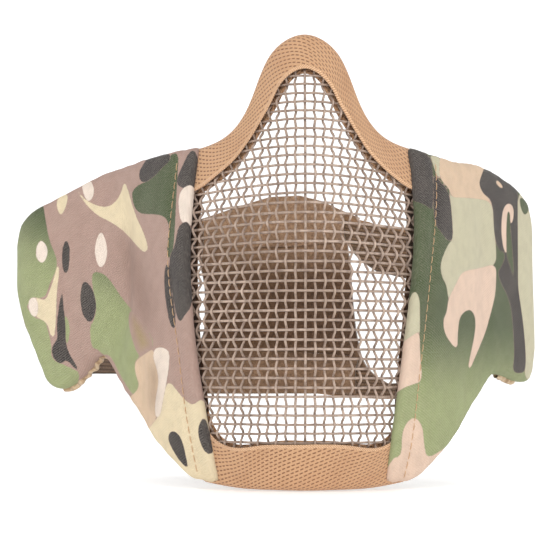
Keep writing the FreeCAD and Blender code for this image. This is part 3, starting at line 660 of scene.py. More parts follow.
def half_side(side, inset):
    """Middle-surface points of one side, from the window edge across the fold to the rear of the wing.

    Returns the points by row (height) and column (from the window to the ear), and their place along
    the cloth, counted from the fold.
    """
    # rough sizes of a side, which turn the inset into a share of them
    tall_mm, cheek_mm, wing_mm = 76, 70, 72
    window, jaw, crest = (
        curve_through(COVER_WINDOW[side]), curve_through(COVER_WINDOW[side][:1] + COVER_JAW),
        curve_through(COVER_TOP[side]))
    low, high = curve_through(WING_LOW[side]), curve_through(WING_TOP[side])
    notch_z, top_z = WING_LOW[side][0][1], WING_TOP[side][0][1]

    def fold(v):
        v = np.atleast_1d(v)
        return np.stack([np.full_like(v, HINGE_X), notch_z + (top_z - notch_z) * v], axis=-1)

    tall = np.linspace(inset / tall_mm, 1 - inset / tall_mm, SIDE_ROWS)
    wide = np.linspace(inset / cheek_mm, 1, CHEEK_COLUMNS)
    flat = coons(jaw, crest, window, fold, *np.meshgrid(wide, tall))
    flat_x, flat_z = flat[..., 0], flat[..., 1]
    cheek = np.stack([SIDES[side] * flat_x, front_surface(flat_x, flat_z), flat_z], axis=-1)

    def near(v):
        return fold(v) * np.array([[0.0, 1.0]])

    def rear(v):
        v = np.atleast_1d(v)[:, None]
        bulge = 4 * v * (1 - v) * np.array([[2.0, 0]])
        return np.array([WING_LOW[side][-1]]) * (1 - v) + np.array([WING_TOP[side][-1]]) * v + bulge

    across = np.linspace(0, 1 - inset / wing_mm, WING_COLUMNS)[1:]
    flat_wing = coons(low, high, near, rear, *np.meshgrid(across, tall))
    wing = wing_point(side, flat_wing[..., 0], flat_wing[..., 1])

    step = np.linalg.norm(np.diff(cheek, axis=1), axis=-1)
    along_cheek = -np.cumsum(step[:, ::-1], axis=1)[:, ::-1]
    along_cheek = np.concatenate([along_cheek, np.zeros((SIDE_ROWS, 1))], axis=1)
    along = np.concatenate([along_cheek, flat_wing[..., 0]], axis=1)
    points = np.concatenate([cheek, wing], axis=1)
    # the cloth bridges the fold in a broad valley
    near_fold = 0.5 * np.exp(-(along / 10) ** 2)[:, 1:-1, None]
    for _ in range(90):
        points[:, 1:-1] += near_fold * ((points[:, :-2] + points[:, 2:]) / 2 - points[:, 1:-1])
    return points, along


def sheet_normals(points, side):
    """Outward normals of a grid, softened across the fold."""
    right = np.gradient(points, axis=1)
    up = np.gradient(points, axis=0)
    normals = unit(np.cross(right, up) * SIDES[side])
    for _ in range(4):
        normals[:, 1:-1] = unit(normals[:, :-2] + 2 * normals[:, 1:-1] + normals[:, 2:])
    return normals


def border_loop(rows, columns):
    """Grid indices round the border: bottom, rear, top, then back down the window edge."""
    bottom = [(0, j) for j in range(columns)]
    rear = [(i, columns - 1) for i in range(1, rows)]
    top = [(rows - 1, j) for j in range(columns - 2, -1, -1)]
    front = [(i, 0) for i in range(rows - 2, 0, -1)]
    return np.array(bottom + rear + top + front)


def loop_outward(ring, normals):
    """For each border point, the direction out of the sheet and in its plane."""
    ahead = np.roll(ring, -1, axis=0) - np.roll(ring, 1, axis=0)
    out = unit(np.cross(ahead, normals))
    middle = ring.mean(axis=0)
    if ((ring - middle) * out).sum() < 0:
        out = -out
    for _ in range(2):
        out = unit(np.roll(out, 1, axis=0) + 2 * out + np.roll(out, -1, axis=0))
    return out


def cover(side):
    """The padded cover of one side: cheek, soft fold and wing in one cloth, rolled at its edges."""
    inset = 2.6
    points, along = half_side(side, inset)
    rows, columns = points.shape[:2]
    normals = sheet_normals(points, side)
    v = grid_shares(rows, columns)[0]

    # padding swells between the seams
    x, z = np.abs(points[..., 0]), points[..., 2]
    crown = np.minimum(1, 4 * v * (1 - v) * 2.2) ** 0.6
    lift = 4.2 + 0.9 * crown
    # a broad dent beside the fold, where the cheek turns into the wing
    dent = np.exp(-((along + 12) / 8) ** 2) * np.exp(-((z - 1) / 25) ** 4)
    puff = np.exp(-((along - 3) / 9) ** 2) * np.exp(-((z + 6) / 24) ** 4)
    lift += (0.9 * puff - 3.5 * dent) if side == "left" else -1.4 * dent
    # a slack vertical fold low on the cheek
    crease = np.exp(-((x - 57.5 - 0.12 * (z + 40)) / 2.6) ** 2) * np.exp(-((z + 42) / 13) ** 4)
    lift -= (1.5 if side == "left" else 0.4) * crease
    # soft wrinkles
    waves = noise_field(points * np.array([1, 1, 0.55]), 34, 11 if side == "left" else 12)
    lift += 0.45 * waves * crown
    edge_share = np.exp(-v / 0.05) + np.exp(-(1 - v) / 0.05)
    lift += 0.16 * edge_share * noise_field(points, 8, 21)
    # the stitched channel holds the front fold down
    seam = SEAM_LINE[side]
    stitch_x = np.interp(z + 4.5 * normals[..., 2], [p[1] for p in seam], [p[0] for p in seam])
    beside = (x + 4.5 * np.abs(normals[..., 0]) - stitch_x) / 1.3
    lift -= 0.8 * np.exp(-beside ** 2)
    lift -= 0.5 * (1 - smooth_step(beside, -1.5, 1.5))
    body = points + normals * lift[..., None]

    loop = border_loop(rows, columns)
    at = (loop[:, 0], loop[:, 1])
    out = loop_outward(points[at], normals[at])
    front_share = smooth_step(-loop[:, 1].astype(float), -1.5, -0.5)[:, None]
    top_lift = lift[at][:, None]
    bottom = np.where(front_share > 0.5, 1.5, -3.0)
    middle, half = (top_lift + bottom) / 2, (top_lift - bottom) / 2
    reach = inset * (1 - 0.45 * front_share)
    pucker = 0.16 * noise_field(points[at], 7, 31)[:, None]
    rings, ring_cloth = [], []
    cloth = np.stack([along, points[..., 2]], axis=-1)
    for turn in np.radians([66, 42, 18, -6, -30, -54, -80]):
        rings.append(points[at] + out * (reach + pucker) * math.cos(turn)
                     + normals[at] * (middle + half * math.sin(turn)))
        ring_cloth.append(cloth[at] + 3 * (math.pi / 2 - turn) * np.array([[0.7, 0.7]]))
    rings.append(points[at] - out * 3 + normals[at] * (bottom + 0.2))
    ring_cloth.append(cloth[at] + 12)

    count = rows * columns
    all_points = np.concatenate([body.reshape(-1, 3)] + rings)
    all_cloth = np.concatenate([cloth.reshape(-1, 2)] + ring_cloth)
    faces = grid_faces(rows, columns)
    size = len(loop)
    grid_loop = loop[:, 0] * columns + loop[:, 1]
    for i in range(size):
        j = (i + 1) % size
        faces.append((int(grid_loop[j]), int(grid_loop[i]), count + i, count + j))
    faces += grid_faces(len(rings), size, count, close=True, flip=True)
    piece = make_mesh(f"{side}_cover", all_points, faces, all_cloth)
    face_outward(piece)
    print_camouflage(piece, side, all_points)
    piece.data.materials.append(camouflage)
    return piece, points, normals, along


def lining(side, points, normals, along):
    """The brown inner face of one side, tucked into the cover's rolled edge."""
    rows, columns = points.shape[:2]
    keep = list(range(1, rows - 1, 2))
    columns_kept = list(range(7, columns - 1, 2))
    points, normals = points[keep][:, columns_kept], normals[keep][:, columns_kept]
    along = along[keep][:, columns_kept]
    # its front edge is turned in behind the wire sheet
    x, z = np.abs(points[:, :1, 0]), points[:, :1, 2]
    x = x - np.array([[2.6, 1.7, 0.8]])
    extra = surface_point(SIDES[side] * x, np.broadcast_to(z, x.shape), np.zeros_like(x))
    points = np.concatenate([extra, points], axis=1)
    normals = np.concatenate([surface_normal(SIDES[side] * x, np.broadcast_to(z, x.shape)), normals], axis=1)
    along = np.concatenate([along[:, :1] - np.arange(3, 0, -1)[None], along], axis=1)
    rows, columns = points.shape[:2]
    v = grid_shares(rows, columns)[0]
    crown = np.minimum(1, 4 * v * (1 - v) * 3)
    depth = -2.6 - 1.1 * crown + 1.6 * np.exp(-(along / 5) ** 2)
    depth += 0.35 * noise_field(points, 22, 41) * crown
    body = points + normals * depth[..., None]
    cloth = np.stack([along, points[..., 2]], axis=-1)
    return sheet_piece(f"{side}_inner_lining", body, cloth, 0.5, lining_cloth)


# Where the tape shows under each wing, as distance from the fold.
TAPE_RUN = {"left": (7, 31), "right": (20, 37)}


def edge_tape(side, points, normals, along):
    """Soft gathered tape sewn under the wing's lower edge."""
    first, last = TAPE_RUN[side]
    run = [j for j in range(CHEEK_COLUMNS - 1, points.shape[1]) if first <= along[0, j] <= last]
    path, up = points[0, run], normals[0, run]
    ahead = unit(np.gradient(path, axis=0))
    out = unit(np.cross(ahead, up))
    out = out * np.where(out[:, 2:3] > 0, -1, 1)
    fine = np.linspace(0, len(path) - 1, len(path) * 3)
    grid = np.arange(len(path))
    path, up, out = [resample(fine, grid, kept) for kept in (path, up, out)]
    length = lengths_along(path)
    gather = np.exp(-(length / 40) ** 4)
    wobble = (0.55 * np.sin(length * 2 * math.pi / 4.4 + 1.4 * noise_field(path, 9, 51)) * gather
              + 0.22 * noise_field(path, 6, 52))
    sides = 12
    turn = np.arange(sides) * 2 * math.pi / sides
    centre = path + out * 2.4 + up * (-1.6 + wobble)[:, None]
    wide = (1.35 + 0.3 * noise_field(path, 5, 53))[:, None, None]
    tall = (1.3 + 0.4 * wobble)[:, None, None]
    ring = (centre[:, None] + out[:, None] * wide * np.cos(turn)[None, :, None]
            + up[:, None] * tall * np.sin(turn)[None, :, None])
    cloth = np.stack(np.broadcast_arrays(length[:, None], turn[None] * 1.6), axis=-1)
    piece = make_mesh(f"{side}_edge_tape", ring.reshape(-1, 3), grid_faces(len(path), sides, close=True),
                      cloth.reshape(-1, 2))
    face_outward(piece)
    piece.data.materials.append(tape_cloth)
    return piece


# ---------------------------------------------------------------- woven wire front


def inside_panel(x, z):
    """Whether a point of the front view lies on the wire sheet, which runs on under its borders."""
    nose = on_table(np.abs(x), [(edge_x, edge_z - 2) for edge_x, edge_z in NOSE_EDGE] + [(48, 43)])
    return (z < nose) & (z > -77.6) & (np.abs(x) < window_edge(z) + 7.5)


def row_drop(x, z):
    """How far a level wire drops towards the sides, high on the sheet."""
    return 3.0 * (x / 40) ** 2 * np.clip((z + 8) / 50, 0, 1)


def woven_wires():
    """Level wires, and upright wires that pass over and under them in turn."""
    # heights of the level wires, evenly spaced along the curved middle line
    fine = np.linspace(-79, 84, 1600)
    slope = np.gradient(front_surface(np.zeros_like(fine), fine), fine)
    climbed = np.concatenate([[0], np.cumsum(np.hypot(1, slope[1:]) * np.diff(fine))])
    rows = int(climbed[-1] / WIRE_PITCH)
    row_of = climbed / WIRE_PITCH
    # distance round the face from the middle line, on a table of heights and widths
    wide = np.linspace(0, 50, 400)
    table_z = np.linspace(-79, 84, 120)
    arcs = []
    for z in table_z:
        depth = front_surface(wide, np.full_like(wide, z))
        arcs.append(np.concatenate([[0], np.cumsum(np.hypot(np.diff(wide), np.diff(depth)))]))
    arcs = np.array(arcs)
    parts, faces, start = [], [], 0

    def add_wire(x, z, offset):
        nonlocal start
        kept = inside_panel(x, z)
        edges = np.flatnonzero(np.diff(np.concatenate([[0], kept.astype(int), [0]])))
        for first, last in zip(edges[::2], edges[1::2]):
            if last - first < 8:
                continue
            span = slice(first, last)
            path = surface_point(x[span], z[span], offset[span])
            rings = tube_rings(path, surface_normal(x[span], z[span]), WIRE_RADIUS)
            parts.append(rings.reshape(-1, 3))
            faces.extend(tube_faces(len(path), TUBE_SIDES, start))
            start += len(path) * TUBE_SIDES

    for row in range(rows + 1):
        z = np.interp(row, row_of, fine)
        arcs_here = np.array([np.interp(z, table_z, arcs[:, k]) for k in range(len(wide))])
        reach = np.interp(window_edge(np.array([z]))[0] + 8, wide, arcs_here)
        arc = np.arange(-reach, reach, 1.1)
        x = np.sign(arc) * np.interp(np.abs(arc), arcs_here[::4], wide[::4])
        sway = 0.12 * np.cos(math.pi * (arc / WIRE_PITCH + row))
        level = z - row_drop(x, z) + 0.12 * noise_field(np.stack([x, x * 0 + z * 9, x * 0], -1), 40, 61)
        add_wire(x, level, -sway)

    count = int(arcs.max() / WIRE_PITCH) + 1
    for column in range(-count, count + 1):
        z = np.arange(-78, 84, 0.62)
        arc = abs(column) * WIRE_PITCH
        widths = np.array([np.interp(arc, level, wide, right=99) for level in arcs])
        x = np.interp(z, table_z, widths) * np.sign(column)
        if column == 0:
            x = np.zeros_like(z)
        row = np.interp(z + row_drop(x, z), fine, row_of)
        crimp = WIRE_CRIMP * np.cos(math.pi * (row + column))
        add_wire(x, z, crimp)
    piece = make_mesh("woven_wire", np.concatenate(parts), faces)
    piece.data.materials.append(painted_wire)
    return piece


# ---------------------------------------------------------------- webbing and straps


# How far the folded webbing's outer and inner faces stand from the middle of the wire sheet.
WEBBING_OUTSIDE, WEBBING_INSIDE = 2.35, 1.25


def folded_webbing(name, edge_half, inner_half):
    """Webbing folded over an edge of the wire sheet, with a slim thickness of its own."""
    edge, inner = curve_through(mirrored(edge_half)), curve_through(mirrored(inner_half))
    t = np.linspace(0, 1, 150)
    start, end = edge(t), inner(t)
    reach = np.linalg.norm(end - start, axis=1)
    shares = np.linspace(1, 2.1 / 19, 14)
    spots = [start + (end - start) * share for share in shares]
    rough = noise_field(np.stack([start[:, 0], start[:, 1], start[:, 0] * 0], -1), 13, 71)
    columns, cloth_across = [], []

    def layer(offset, order, across_start):
        for k in order:
            x, z = spots[k][:, 0], spots[k][:, 1]
            swell = 0.22 * rough * (0.4 + shares[k])
            columns.append(surface_point(x, z, np.full_like(x, offset) + math.copysign(1, offset) * swell))
            cloth_across.append(across_start + (1 - shares[k]) * reach.mean() * math.copysign(1, offset))

    def turn_round(radius, angles):
        x, z = spots[-1][:, 0], spots[-1][:, 1]
        centre = surface_point(x, z, np.zeros_like(x))
        out = surface_normal(x, z)
        away = unit(centre - surface_point(spots[-2][:, 0], spots[-2][:, 1], np.zeros_like(x)))
        for angle in angles:
            columns.append(centre + out * radius * math.sin(angle) + away * radius * math.cos(angle))
            cloth_across.append(cloth_across[-1] + radius * 0.6)

    forward = range(len(shares))
    layer(WEBBING_OUTSIDE, forward, 0)
    turn_round(WEBBING_OUTSIDE, np.radians([60, 30, 0, -30, -60]))
    layer(-WEBBING_OUTSIDE, reversed(forward), 2 * reach.mean())
    layer(-WEBBING_INSIDE, forward, 2 * reach.mean())
    turn_round(WEBBING_INSIDE, np.radians([-45, 0, 45]))
    layer(WEBBING_INSIDE, reversed(forward), 0)
    points = np.stack(columns, axis=1)
    length = lengths_along(points[:, 6])
    cloth = np.stack(np.broadcast_arrays(length[:, None], np.array(cloth_across)[None]), axis=-1)
    piece = make_mesh(name, points.reshape(-1, 3), tube_faces(*points.shape[:2]), cloth.reshape(-1, 2))
    face_outward(piece)
    modifier = piece.modifiers.new("smooth", "SUBSURF")
    modifier.levels = modifier.render_levels = 1
    piece.data.materials.append(webbing)
    return piece


STRAPS = {
    "upper": {"width": 25, "wing_z": 6.5, "patch_z": 26, "turn": 30, "sag": {"left": 0, "right": 0}},
    "lower": {"width": 12, "wing_z": -35, "patch_z": -38, "turn": 0, "sag": {"left": 1, "right": 7}},
}
RISE = {"left": 2.2, "right": 1.5}


def strap_route(side, level):
    """A strap's middle line from its wing to the rear panel: points, outward normals and length."""
    sizes, splay, sign = STRAPS[level], SPLAY[side], SIDES[side]
    rear = PATCH_RADIUS - PATCH_HALF - STRAP_CLEARANCE - STRAP_HALF
    patch = np.array([-sign * PATCH_X, PATCH_Y], float)
    if level == "upper":
        last = splay - CURL_ANGLE
        out = HINGE_X + WING_FLAT * math.sin(splay) + CURL_RADIUS * (math.cos(last) - math.cos(splay))
        back = HINGE_Y + WING_FLAT * math.cos(splay) + CURL_RADIUS * (math.sin(splay) - math.sin(last))
        heading, turn = math.pi / 2 + last, sizes["turn"]
        x, y = -out - STRAP_GAP * math.sin(last), back + STRAP_GAP * math.cos(last)
        start = np.array([x + turn * math.sin(heading), y - turn * math.cos(heading)])
    else:
        inside = STRAP_GAP + LINING_DEPTH
        start = np.array([-(HINGE_X + LOWER_ANCHOR * math.sin(splay) - inside * math.cos(splay)),
                          HINGE_Y + LOWER_ANCHOR * math.cos(splay) + inside * math.sin(splay)])
        heading, turn = None, 0
    gap = patch - start
    reach = np.hypot(*gap)
    run_heading = math.atan2(gap[1], gap[0]) + math.asin((rear - turn) / reach)
    heading = run_heading if heading is None else heading
    run = math.sqrt(reach ** 2 - (rear - turn) ** 2)
    first, final = turn * (heading - run_heading), rear * run_heading - STRAP_CLEARANCE / 2
    total = first + run + final
    spots, normals = [], []
    for length in np.linspace(0, total, STRAP_STATIONS):
        if length < first:
            angle = heading - length / turn
            spot = start + turn * np.array([-math.sin(angle), math.cos(angle)])
        elif length < first + run:
            angle = run_heading
            spot = (start + turn * np.array([-math.sin(angle), math.cos(angle)])
                    + (length - first) * np.array([math.cos(angle), math.sin(angle)]))
        else:
            angle = run_heading - (length - first - run) / rear
            spot = patch + rear * np.array([-math.sin(angle), math.cos(angle)])
        share = length / total
        height = (sizes["wing_z"] + (sizes["patch_z"] - sizes["wing_z"]) * share ** RISE[side]
                  - 4 * sizes["sag"][side] * share * (1 - share))
        spots.append((-sign * spot[0], spot[1], height))
        normals.append((sign * math.sin(angle), math.cos(angle), 0))
    spots, normals = np.array(spots), np.array(normals)
    # pulled straight through the adjuster, for as far as it slides
    middle = slider_station(spots)
    ahead = unit(spots[middle + 1] - spots[middle - 1])
    past = (np.arange(STRAP_STATIONS) - middle) * total / (STRAP_STATIONS - 1)
    share = np.where(past < 0, 1 - smooth_step(-past, 16, 34), 1 - smooth_step(past, 6, 20))[:, None]
    spots = spots * (1 - share) + (spots[middle] + past[:, None] * ahead) * share
    normals = unit(normals * (1 - share) + normals[middle] * share)
    return spots, normals, total


# How far a strap's end goes into its wing: an upper one between cover and lining, a lower one into
# the lining.
STRAP_TUCK = {"upper": 12.0, "lower": 4.0}
TUCK_POINTS = 8


def sewn_end(spots, normals, level):
    """A strap's front part with its sewn end added; an upper strap's end follows the wing's curl."""
    ahead, depth = unit(spots[1] - spots[0]), STRAP_TUCK[level]
    back = np.linspace(depth, depth / TUCK_POINTS, TUCK_POINTS)[:, None]
    bend = back ** 2 / (2 * CURL_RADIUS) if level == "upper" else 0 * back
    end = spots[0] - back * ahead - bend * normals[0]
    return np.concatenate([end, spots]), np.concatenate([np.tile(normals[0], (TUCK_POINTS, 1)), normals])


def slider_station(spots):
    """The point of a strap's route at its adjuster."""
    return int(np.argmin(np.abs(np.abs(spots[:, 0]) - SLIDER_X)[10:]) + 10)


# A strap's section, as shares of its half width and half thickness.
STRAP_SECTION = [(-1, 0.5), (-0.8, 1), (-0.4, 1), (0, 1), (0.4, 1), (0.8, 1), (1, 0.5),
                 (1, -0.5), (0.8, -1), (0.4, -1), (0, -1), (-0.4, -1), (-0.8, -1), (-1, -0.5)]
STRAP_THICKNESS = 1.0


def strap_piece(name, spots, normals, width, length_start, limits=None):
    """A flat woven strap along a route; its two faces and edges are one closed skin."""
    up = np.zeros_like(spots) + np.array([0, 0, 1.0])
    length = length_start + lengths_along(spots)
    half = np.full(length.shape, width / 2 - 0.5)
    rings, cloth = [], []
    for across, side in STRAP_SECTION:
        rings.append(spots + up * (half * across)[:, None] + normals * side * STRAP_THICKNESS / 2)
        cloth.append(np.stack([length, half * across], axis=-1))
    points, flat = np.stack(rings, axis=1), np.stack(cloth, axis=1)
    if limits is not None:
        low, high = limits(points[..., 0])
        points[..., 2] = np.clip(points[..., 2], low, high)
    piece = make_mesh(name, points.reshape(-1, 3), tube_faces(*points.shape[:2]), flat.reshape(-1, 2))
    store(piece, "rim", np.abs(np.tile([across for across, _ in STRAP_SECTION], len(spots))))
    face_outward(piece)
    piece.data.materials.append(elastic)
    return piece


# Outlines in the front view: the panel's top as (x, z) and its sides as (z, x), then the lower edge of
# the upper straps and the upper edge of the lower ones as (x, z).
PANEL_TOP = [(-56, 25), (-41, 29.5), (-26, 35), (-13, 39), (0, 39.6), (10, 37), (16, 33.8), (24, 30),
             (34, 26)]
PANEL_LEFT = [(-46.5, -53), (-36, -52), (-30, -47), (-25, -43.5), (-20, -41.3), (-10, -40.6), (0, -41.2),
              (10, -42.6), (20, -44), (30, -47)]
PANEL_RIGHT = [(-46.5, 43), (-43, 38), (-40, 33), (-36, 28.4), (-31, 26), (-22, 24.6), (-11, 23.2),
               (4, 21.6), (18, 20.4), (22, 21), (30, 26)]
STRAP_LOW = [(-60, 2), (-48, 6), (-43, 11), (-38, 16.5), (-20, 17), (0, 17.5), (17, 19), (20.6, 17.6),
             (23, 14), (26, 10.7), (32.6, 5.9), (42, 3.3), (52, 1), (70, -4)]
LOWER_HIGH = [(-60, -20), (-46, -24), (-40, -27), (0, -28.5), (22, -30), (26, -32.6), (29, -37),
              (33, -40.6), (37, -42.2), (45, -41.5), (52, -38), (60, -33)]


def hidden_by_bands(x):
    """How far the straps keep inside the bands that cover them on the panel."""
    return np.interp(x, [-46, -41, 17, 23], [0, 5.5, 5.5, 0])


def upper_limits(x):
    return on_table(x, STRAP_LOW) + hidden_by_bands(x), on_table(x, PANEL_TOP) - 0.6


def lower_limits(x):
    return np.full_like(x, -60.0), on_table(x, LOWER_HIGH) - hidden_by_bands(x)


def wing_limits(x):
    """The lower straps are folded narrower where they run up behind the wings' lower edges."""
    return np.interp(np.abs(x), [56, 60, 74], [-60, -43, -38]), np.full_like(x, 99.0)


def on_panel(angle, radius, z):
    """Points on the rear panel's upright cylinder."""
    return np.stack([PATCH_X + radius * np.sin(angle), PATCH_Y + radius * np.cos(angle), z], axis=-1)


def panel_band(name, low, high, left, right):
    """A cloth band across the panel's face, made lighter by the panel cloth's painted light; it hides where
    the straps meet.
    """
    rows, columns = 26, 90
    height = grid_shares(rows, columns)[0]
    x = np.linspace(left, right, columns)[None] * np.ones((rows, 1))
    bottom, top = on_table(x, low), on_table(x, high)
    z = bottom + (top - bottom) * height
    angle = np.arcsin((x - PATCH_X) / PATCH_RADIUS)
    lift = 0.35 * noise_field(np.stack([x, z, x * 0], -1), 16, 91)
    inner = height if name == "panel_upper_band" else 1 - height
    # away from the panel's own edge, it stands in front of the straps
    radius = PATCH_RADIUS - 1.3 - 1.9 * smooth_step(inner, 0, 0.32) + lift * smooth_step(inner, 0, 0.2)
    cloth = np.stack([angle * PATCH_RADIUS, z], axis=-1)
    return sheet_piece(name, on_panel(angle, radius, z), cloth, 0.9, panel_cloth)


def rear_panel():
    """The soft panel behind the head: waisted sides that spread into the straps."""
    height, across = grid_shares(90, 90)
    z = height * 84 - 46.5
    for _ in range(12):
        left = on_table(z, PANEL_LEFT)
        right = on_table(z, PANEL_RIGHT)
        x = left + (right - left) * across
        top = on_table(x, PANEL_TOP)
        z = -46.5 + (top + 46.5) * height
    for _ in range(10):
        x[1:-1] = (x[:-2] + 2 * x[1:-1] + x[2:]) / 4
    angle = np.arcsin(np.clip((x - PATCH_X) / PATCH_RADIUS, -0.95, 0.95))
    bow = 0.8 * noise_field(np.stack([angle * 70, z, angle * 0], -1), 30, 81)
    cloth = np.stack([angle * PATCH_RADIUS, z], axis=-1)
    return sheet_piece("rear_panel", on_panel(angle, PATCH_RADIUS + bow, z), cloth, 1.8, panel_cloth)


# ---------------------------------------------------------------- materials


def wire_look():
    look = Look("painted_wire", roughness=0.55, specular=0.4)
    place = look.place()
    patches = look.ramp(look.noise(place, 26, 4, 0.6), 0.34, 0.66)
    colour = look.mix(patches, tone(166, 144, 128), tone(194, 172, 156))
    fine = look.ramp(look.noise(place, 2.4, 5, 0.65), 0.36, 0.7)
    colour = look.mix(fine, colour, tone(142, 122, 110))
    chips = look.ramp(look.noise(place, 1.1, 3, 0.7), 0.66, 0.74)
    colour = look.mix(chips, colour, tone(96, 84, 78))
    normal = look.bump(look.noise(place, 0.7, 4), 0.05, 0.6)
    return look.finish(colour, normal, look.ramp(chips, 0, 1, 0.56, 0.38))


def webbing_look():
    """Rows of short raised yarns with painted shade in the gaps, a paler selvage and a slightly worn face."""
    look = Look("tan_webbing", roughness=0.82, sheen=0.25, specular=0.2)
    u, v = look.split(look.cloth())[0:2]
    # slanting grooves, broken into short dashes, between round yarns
    wander = look.times(look.less(look.noise(look.cloth(), 11, 2), 0.5), 1.0 * MM)
    slant = look.add(look.add(v, look.times(u, 0.42)), wander)
    rows = look.wave(slant, 1.45)
    along = look.add(look.less(u, look.times(v, 0.42)),
                       look.times(look.maths("FLOOR", look.maths("DIVIDE", slant, 1.45 * MM)), 0.9 * MM))
    dashes = look.ramp(look.wave(along, 2.1), 0.12, 0.5)
    groove = look.times(look.ramp(rows, 0.42, 0.08), dashes)
    yarn = look.less(1.0, groove)
    twist = look.wave(look.less(look.times(u, 1.4), v), 0.6)
    colour = look.mix(look.ramp(twist, 0.2, 0.9, 0.0, 0.5), tone(196, 153, 116), tone(218, 176, 139))
    # painted shade in the grooves between the yarns
    colour = look.mix(look.times(groove, 0.85), colour, tone(122, 80, 50))
    soiled = look.ramp(look.noise(look.cloth(), 17, 4), 0.42, 0.7, 0.0, 0.25)
    colour = look.mix(soiled, colour, tone(160, 112, 78))
    # the woven border along the inner edge
    border = look.ramp(v, 1.5 * MM, 1.0 * MM)
    cord = look.wave(look.less(u, v), 0.9)
    colour = look.mix(border, colour, look.mix(cord, tone(196, 150, 112), tone(236, 196, 158)))
    height = look.add(yarn, look.times(twist, 0.12))
    height = look.mix(border, height, look.times(cord, 0.9))
    return look.finish(colour, look.bump(height, 0.3, 0.8))


def napped_finish(look, cloth, nap, colour, drift_depth, dark):
    """The uneven dusk, the knit and the nap that the brown cloths share."""
    drift = look.ramp(look.noise(cloth, 12, 4), 0.35, 0.7, 0.0, drift_depth)
    colour = look.mix(drift, colour, dark)
    u, v = look.split(cloth)[0:2]
    knit = look.times(look.wave(u, 1.3), look.wave(v, 1.1))
    return look.finish(colour, look.bump(knit, 0.18, 0.6, look.bump(nap, 0.3, 0.5)))


def lining_look():
    look = Look("brown_lining", roughness=0.95, sheen=0.5, specular=0.1)
    cloth = look.cloth()
    nap = look.noise(cloth, 1.1, 5, 0.7)
    colour = look.mix(look.ramp(nap, 0.3, 0.72), tone(84, 60, 44), tone(132, 98, 72))
    return napped_finish(look, cloth, nap, colour, 0.45, tone(38, 28, 22))


def panel_look():
    """The same napped cloth as the linings, with painted shade across the waist and painted light towards the
    top and foot.
    """
    look = Look("panel_cloth", roughness=0.95, sheen=0.5, specular=0.1)
    cloth = look.cloth()
    nap = look.ramp(look.noise(cloth, 1.4, 5, 0.7), 0.3, 0.72)
    height = look.split(look.place())[2]
    # painted light towards the top and the foot and painted shade across the waist, as on a curved panel lit
    # from above
    pale = look.add(look.ramp(height, 0.001, 0.024), look.ramp(height, -0.022, -0.037, 0.0, 0.72))
    colour = look.mix(pale, look.mix(nap, tone(80, 57, 40), tone(116, 86, 63)),
                      look.mix(nap, tone(138, 107, 83), tone(182, 147, 116)))
    return napped_finish(look, cloth, nap, colour, 0.25, tone(50, 37, 28))


def elastic_look():
    """Woven elastic: fine ribs along the strap, crossed by the weft's small steps."""
    look = Look("brown_elastic", roughness=0.8, sheen=0.3, specular=0.25)
    u, v = look.split(look.cloth())[0:2]
    ribs = look.wave(v, 1.5)
    steps = look.wave(look.add(u, look.times(look.maths("FLOOR",
                      look.maths("DIVIDE", v, 1.5 * MM)), 0.6 * MM)), 1.2)
    height = look.times(look.maths("POWER", ribs, 0.6), look.ramp(steps, 0.0, 0.6, 0.45, 1.0))
    # painted shade low between the ribs and the weft's steps, painted light on their tops
    colour = look.mix(look.ramp(height, 0.1, 0.8), tone(92, 69, 50), tone(134, 105, 80))
    colour = look.mix(look.ramp(look.value_of("rim"), 0.84, 0.97, 0.0, 0.7), colour, tone(186, 140, 98))
    fluff = look.ramp(look.noise(look.cloth(), 3, 5), 0.45, 0.75, 0.0, 0.35)
    colour = look.mix(fluff, colour, tone(30, 24, 20))
    return look.finish(colour, look.bump(height, 0.3, 0.8))


def tape_look():
    look = Look("edge_tape", roughness=0.88, sheen=0.35, specular=0.2)
    u, v = look.split(look.cloth())[0:2]
    knit = look.times(look.wave(u, 0.9), look.wave(v, 0.8))
    patches = look.ramp(look.noise(look.cloth(), 5, 4), 0.35, 0.7)
    colour = look.mix(patches, tone(214, 190, 158), tone(184, 152, 118))
    pucker = look.wave(u, 3.1)
    # painted shade in the troughs of the gathers
    colour = look.mix(look.ramp(pucker, 0.0, 0.35, 0.35, 0.0), colour, tone(120, 90, 66))
    normal = look.bump(knit, 0.16, 0.7, look.bump(pucker, 0.4, 0.5))
    return look.finish(colour, normal)


def thread_look():
    look = Look("tan_thread", roughness=0.6, sheen=0.4, specular=0.35)
    place = look.place()
    x, y, z = look.split(place)
    twist = look.wave(look.add(look.add(x, y), look.times(z, 2.0)), 0.5)
    colour = look.mix(twist, tone(184, 140, 100), tone(222, 184, 142))
    return look.finish(colour, look.bump(twist, 0.08, 0.8))


def plastic_look():
    look = Look("brown_plastic", roughness=0.45, specular=0.45)
    place = look.place()
    grain = look.noise(place, 0.5, 4, 0.6)
    colour = look.mix(look.ramp(look.noise(place, 9, 4), 0.35, 0.7), tone(66, 50, 40), tone(86, 66, 52))
    scuffs = look.ramp(look.noise(place, 2.4, 6, 0.75), 0.6, 0.72, 0.0, 0.5)
    colour = look.mix(scuffs, colour, tone(132, 108, 90))
    return look.finish(colour, look.bump(grain, 0.05, 0.7), look.ramp(scuffs, 0.0, 0.5, 0.42, 0.7))


painted_wire = wire_look()
webbing = webbing_look()
camouflage = camouflage_look()
lining_cloth = lining_look()
panel_cloth = panel_look()
elastic = elastic_look()
tape_cloth = tape_look()
thread = thread_look()
plastic = plastic_look()


# ---------------------------------------------------------------- camera, light, floor

def aim(holder, place, target):
    """Puts a camera or a light at a place and turns it towards a target, both in metres."""
    holder.location = place
    holder.rotation_mode = "QUATERNION"
    holder.rotation_quaternion = (target - holder.location).to_track_quat("-Z", "Y")


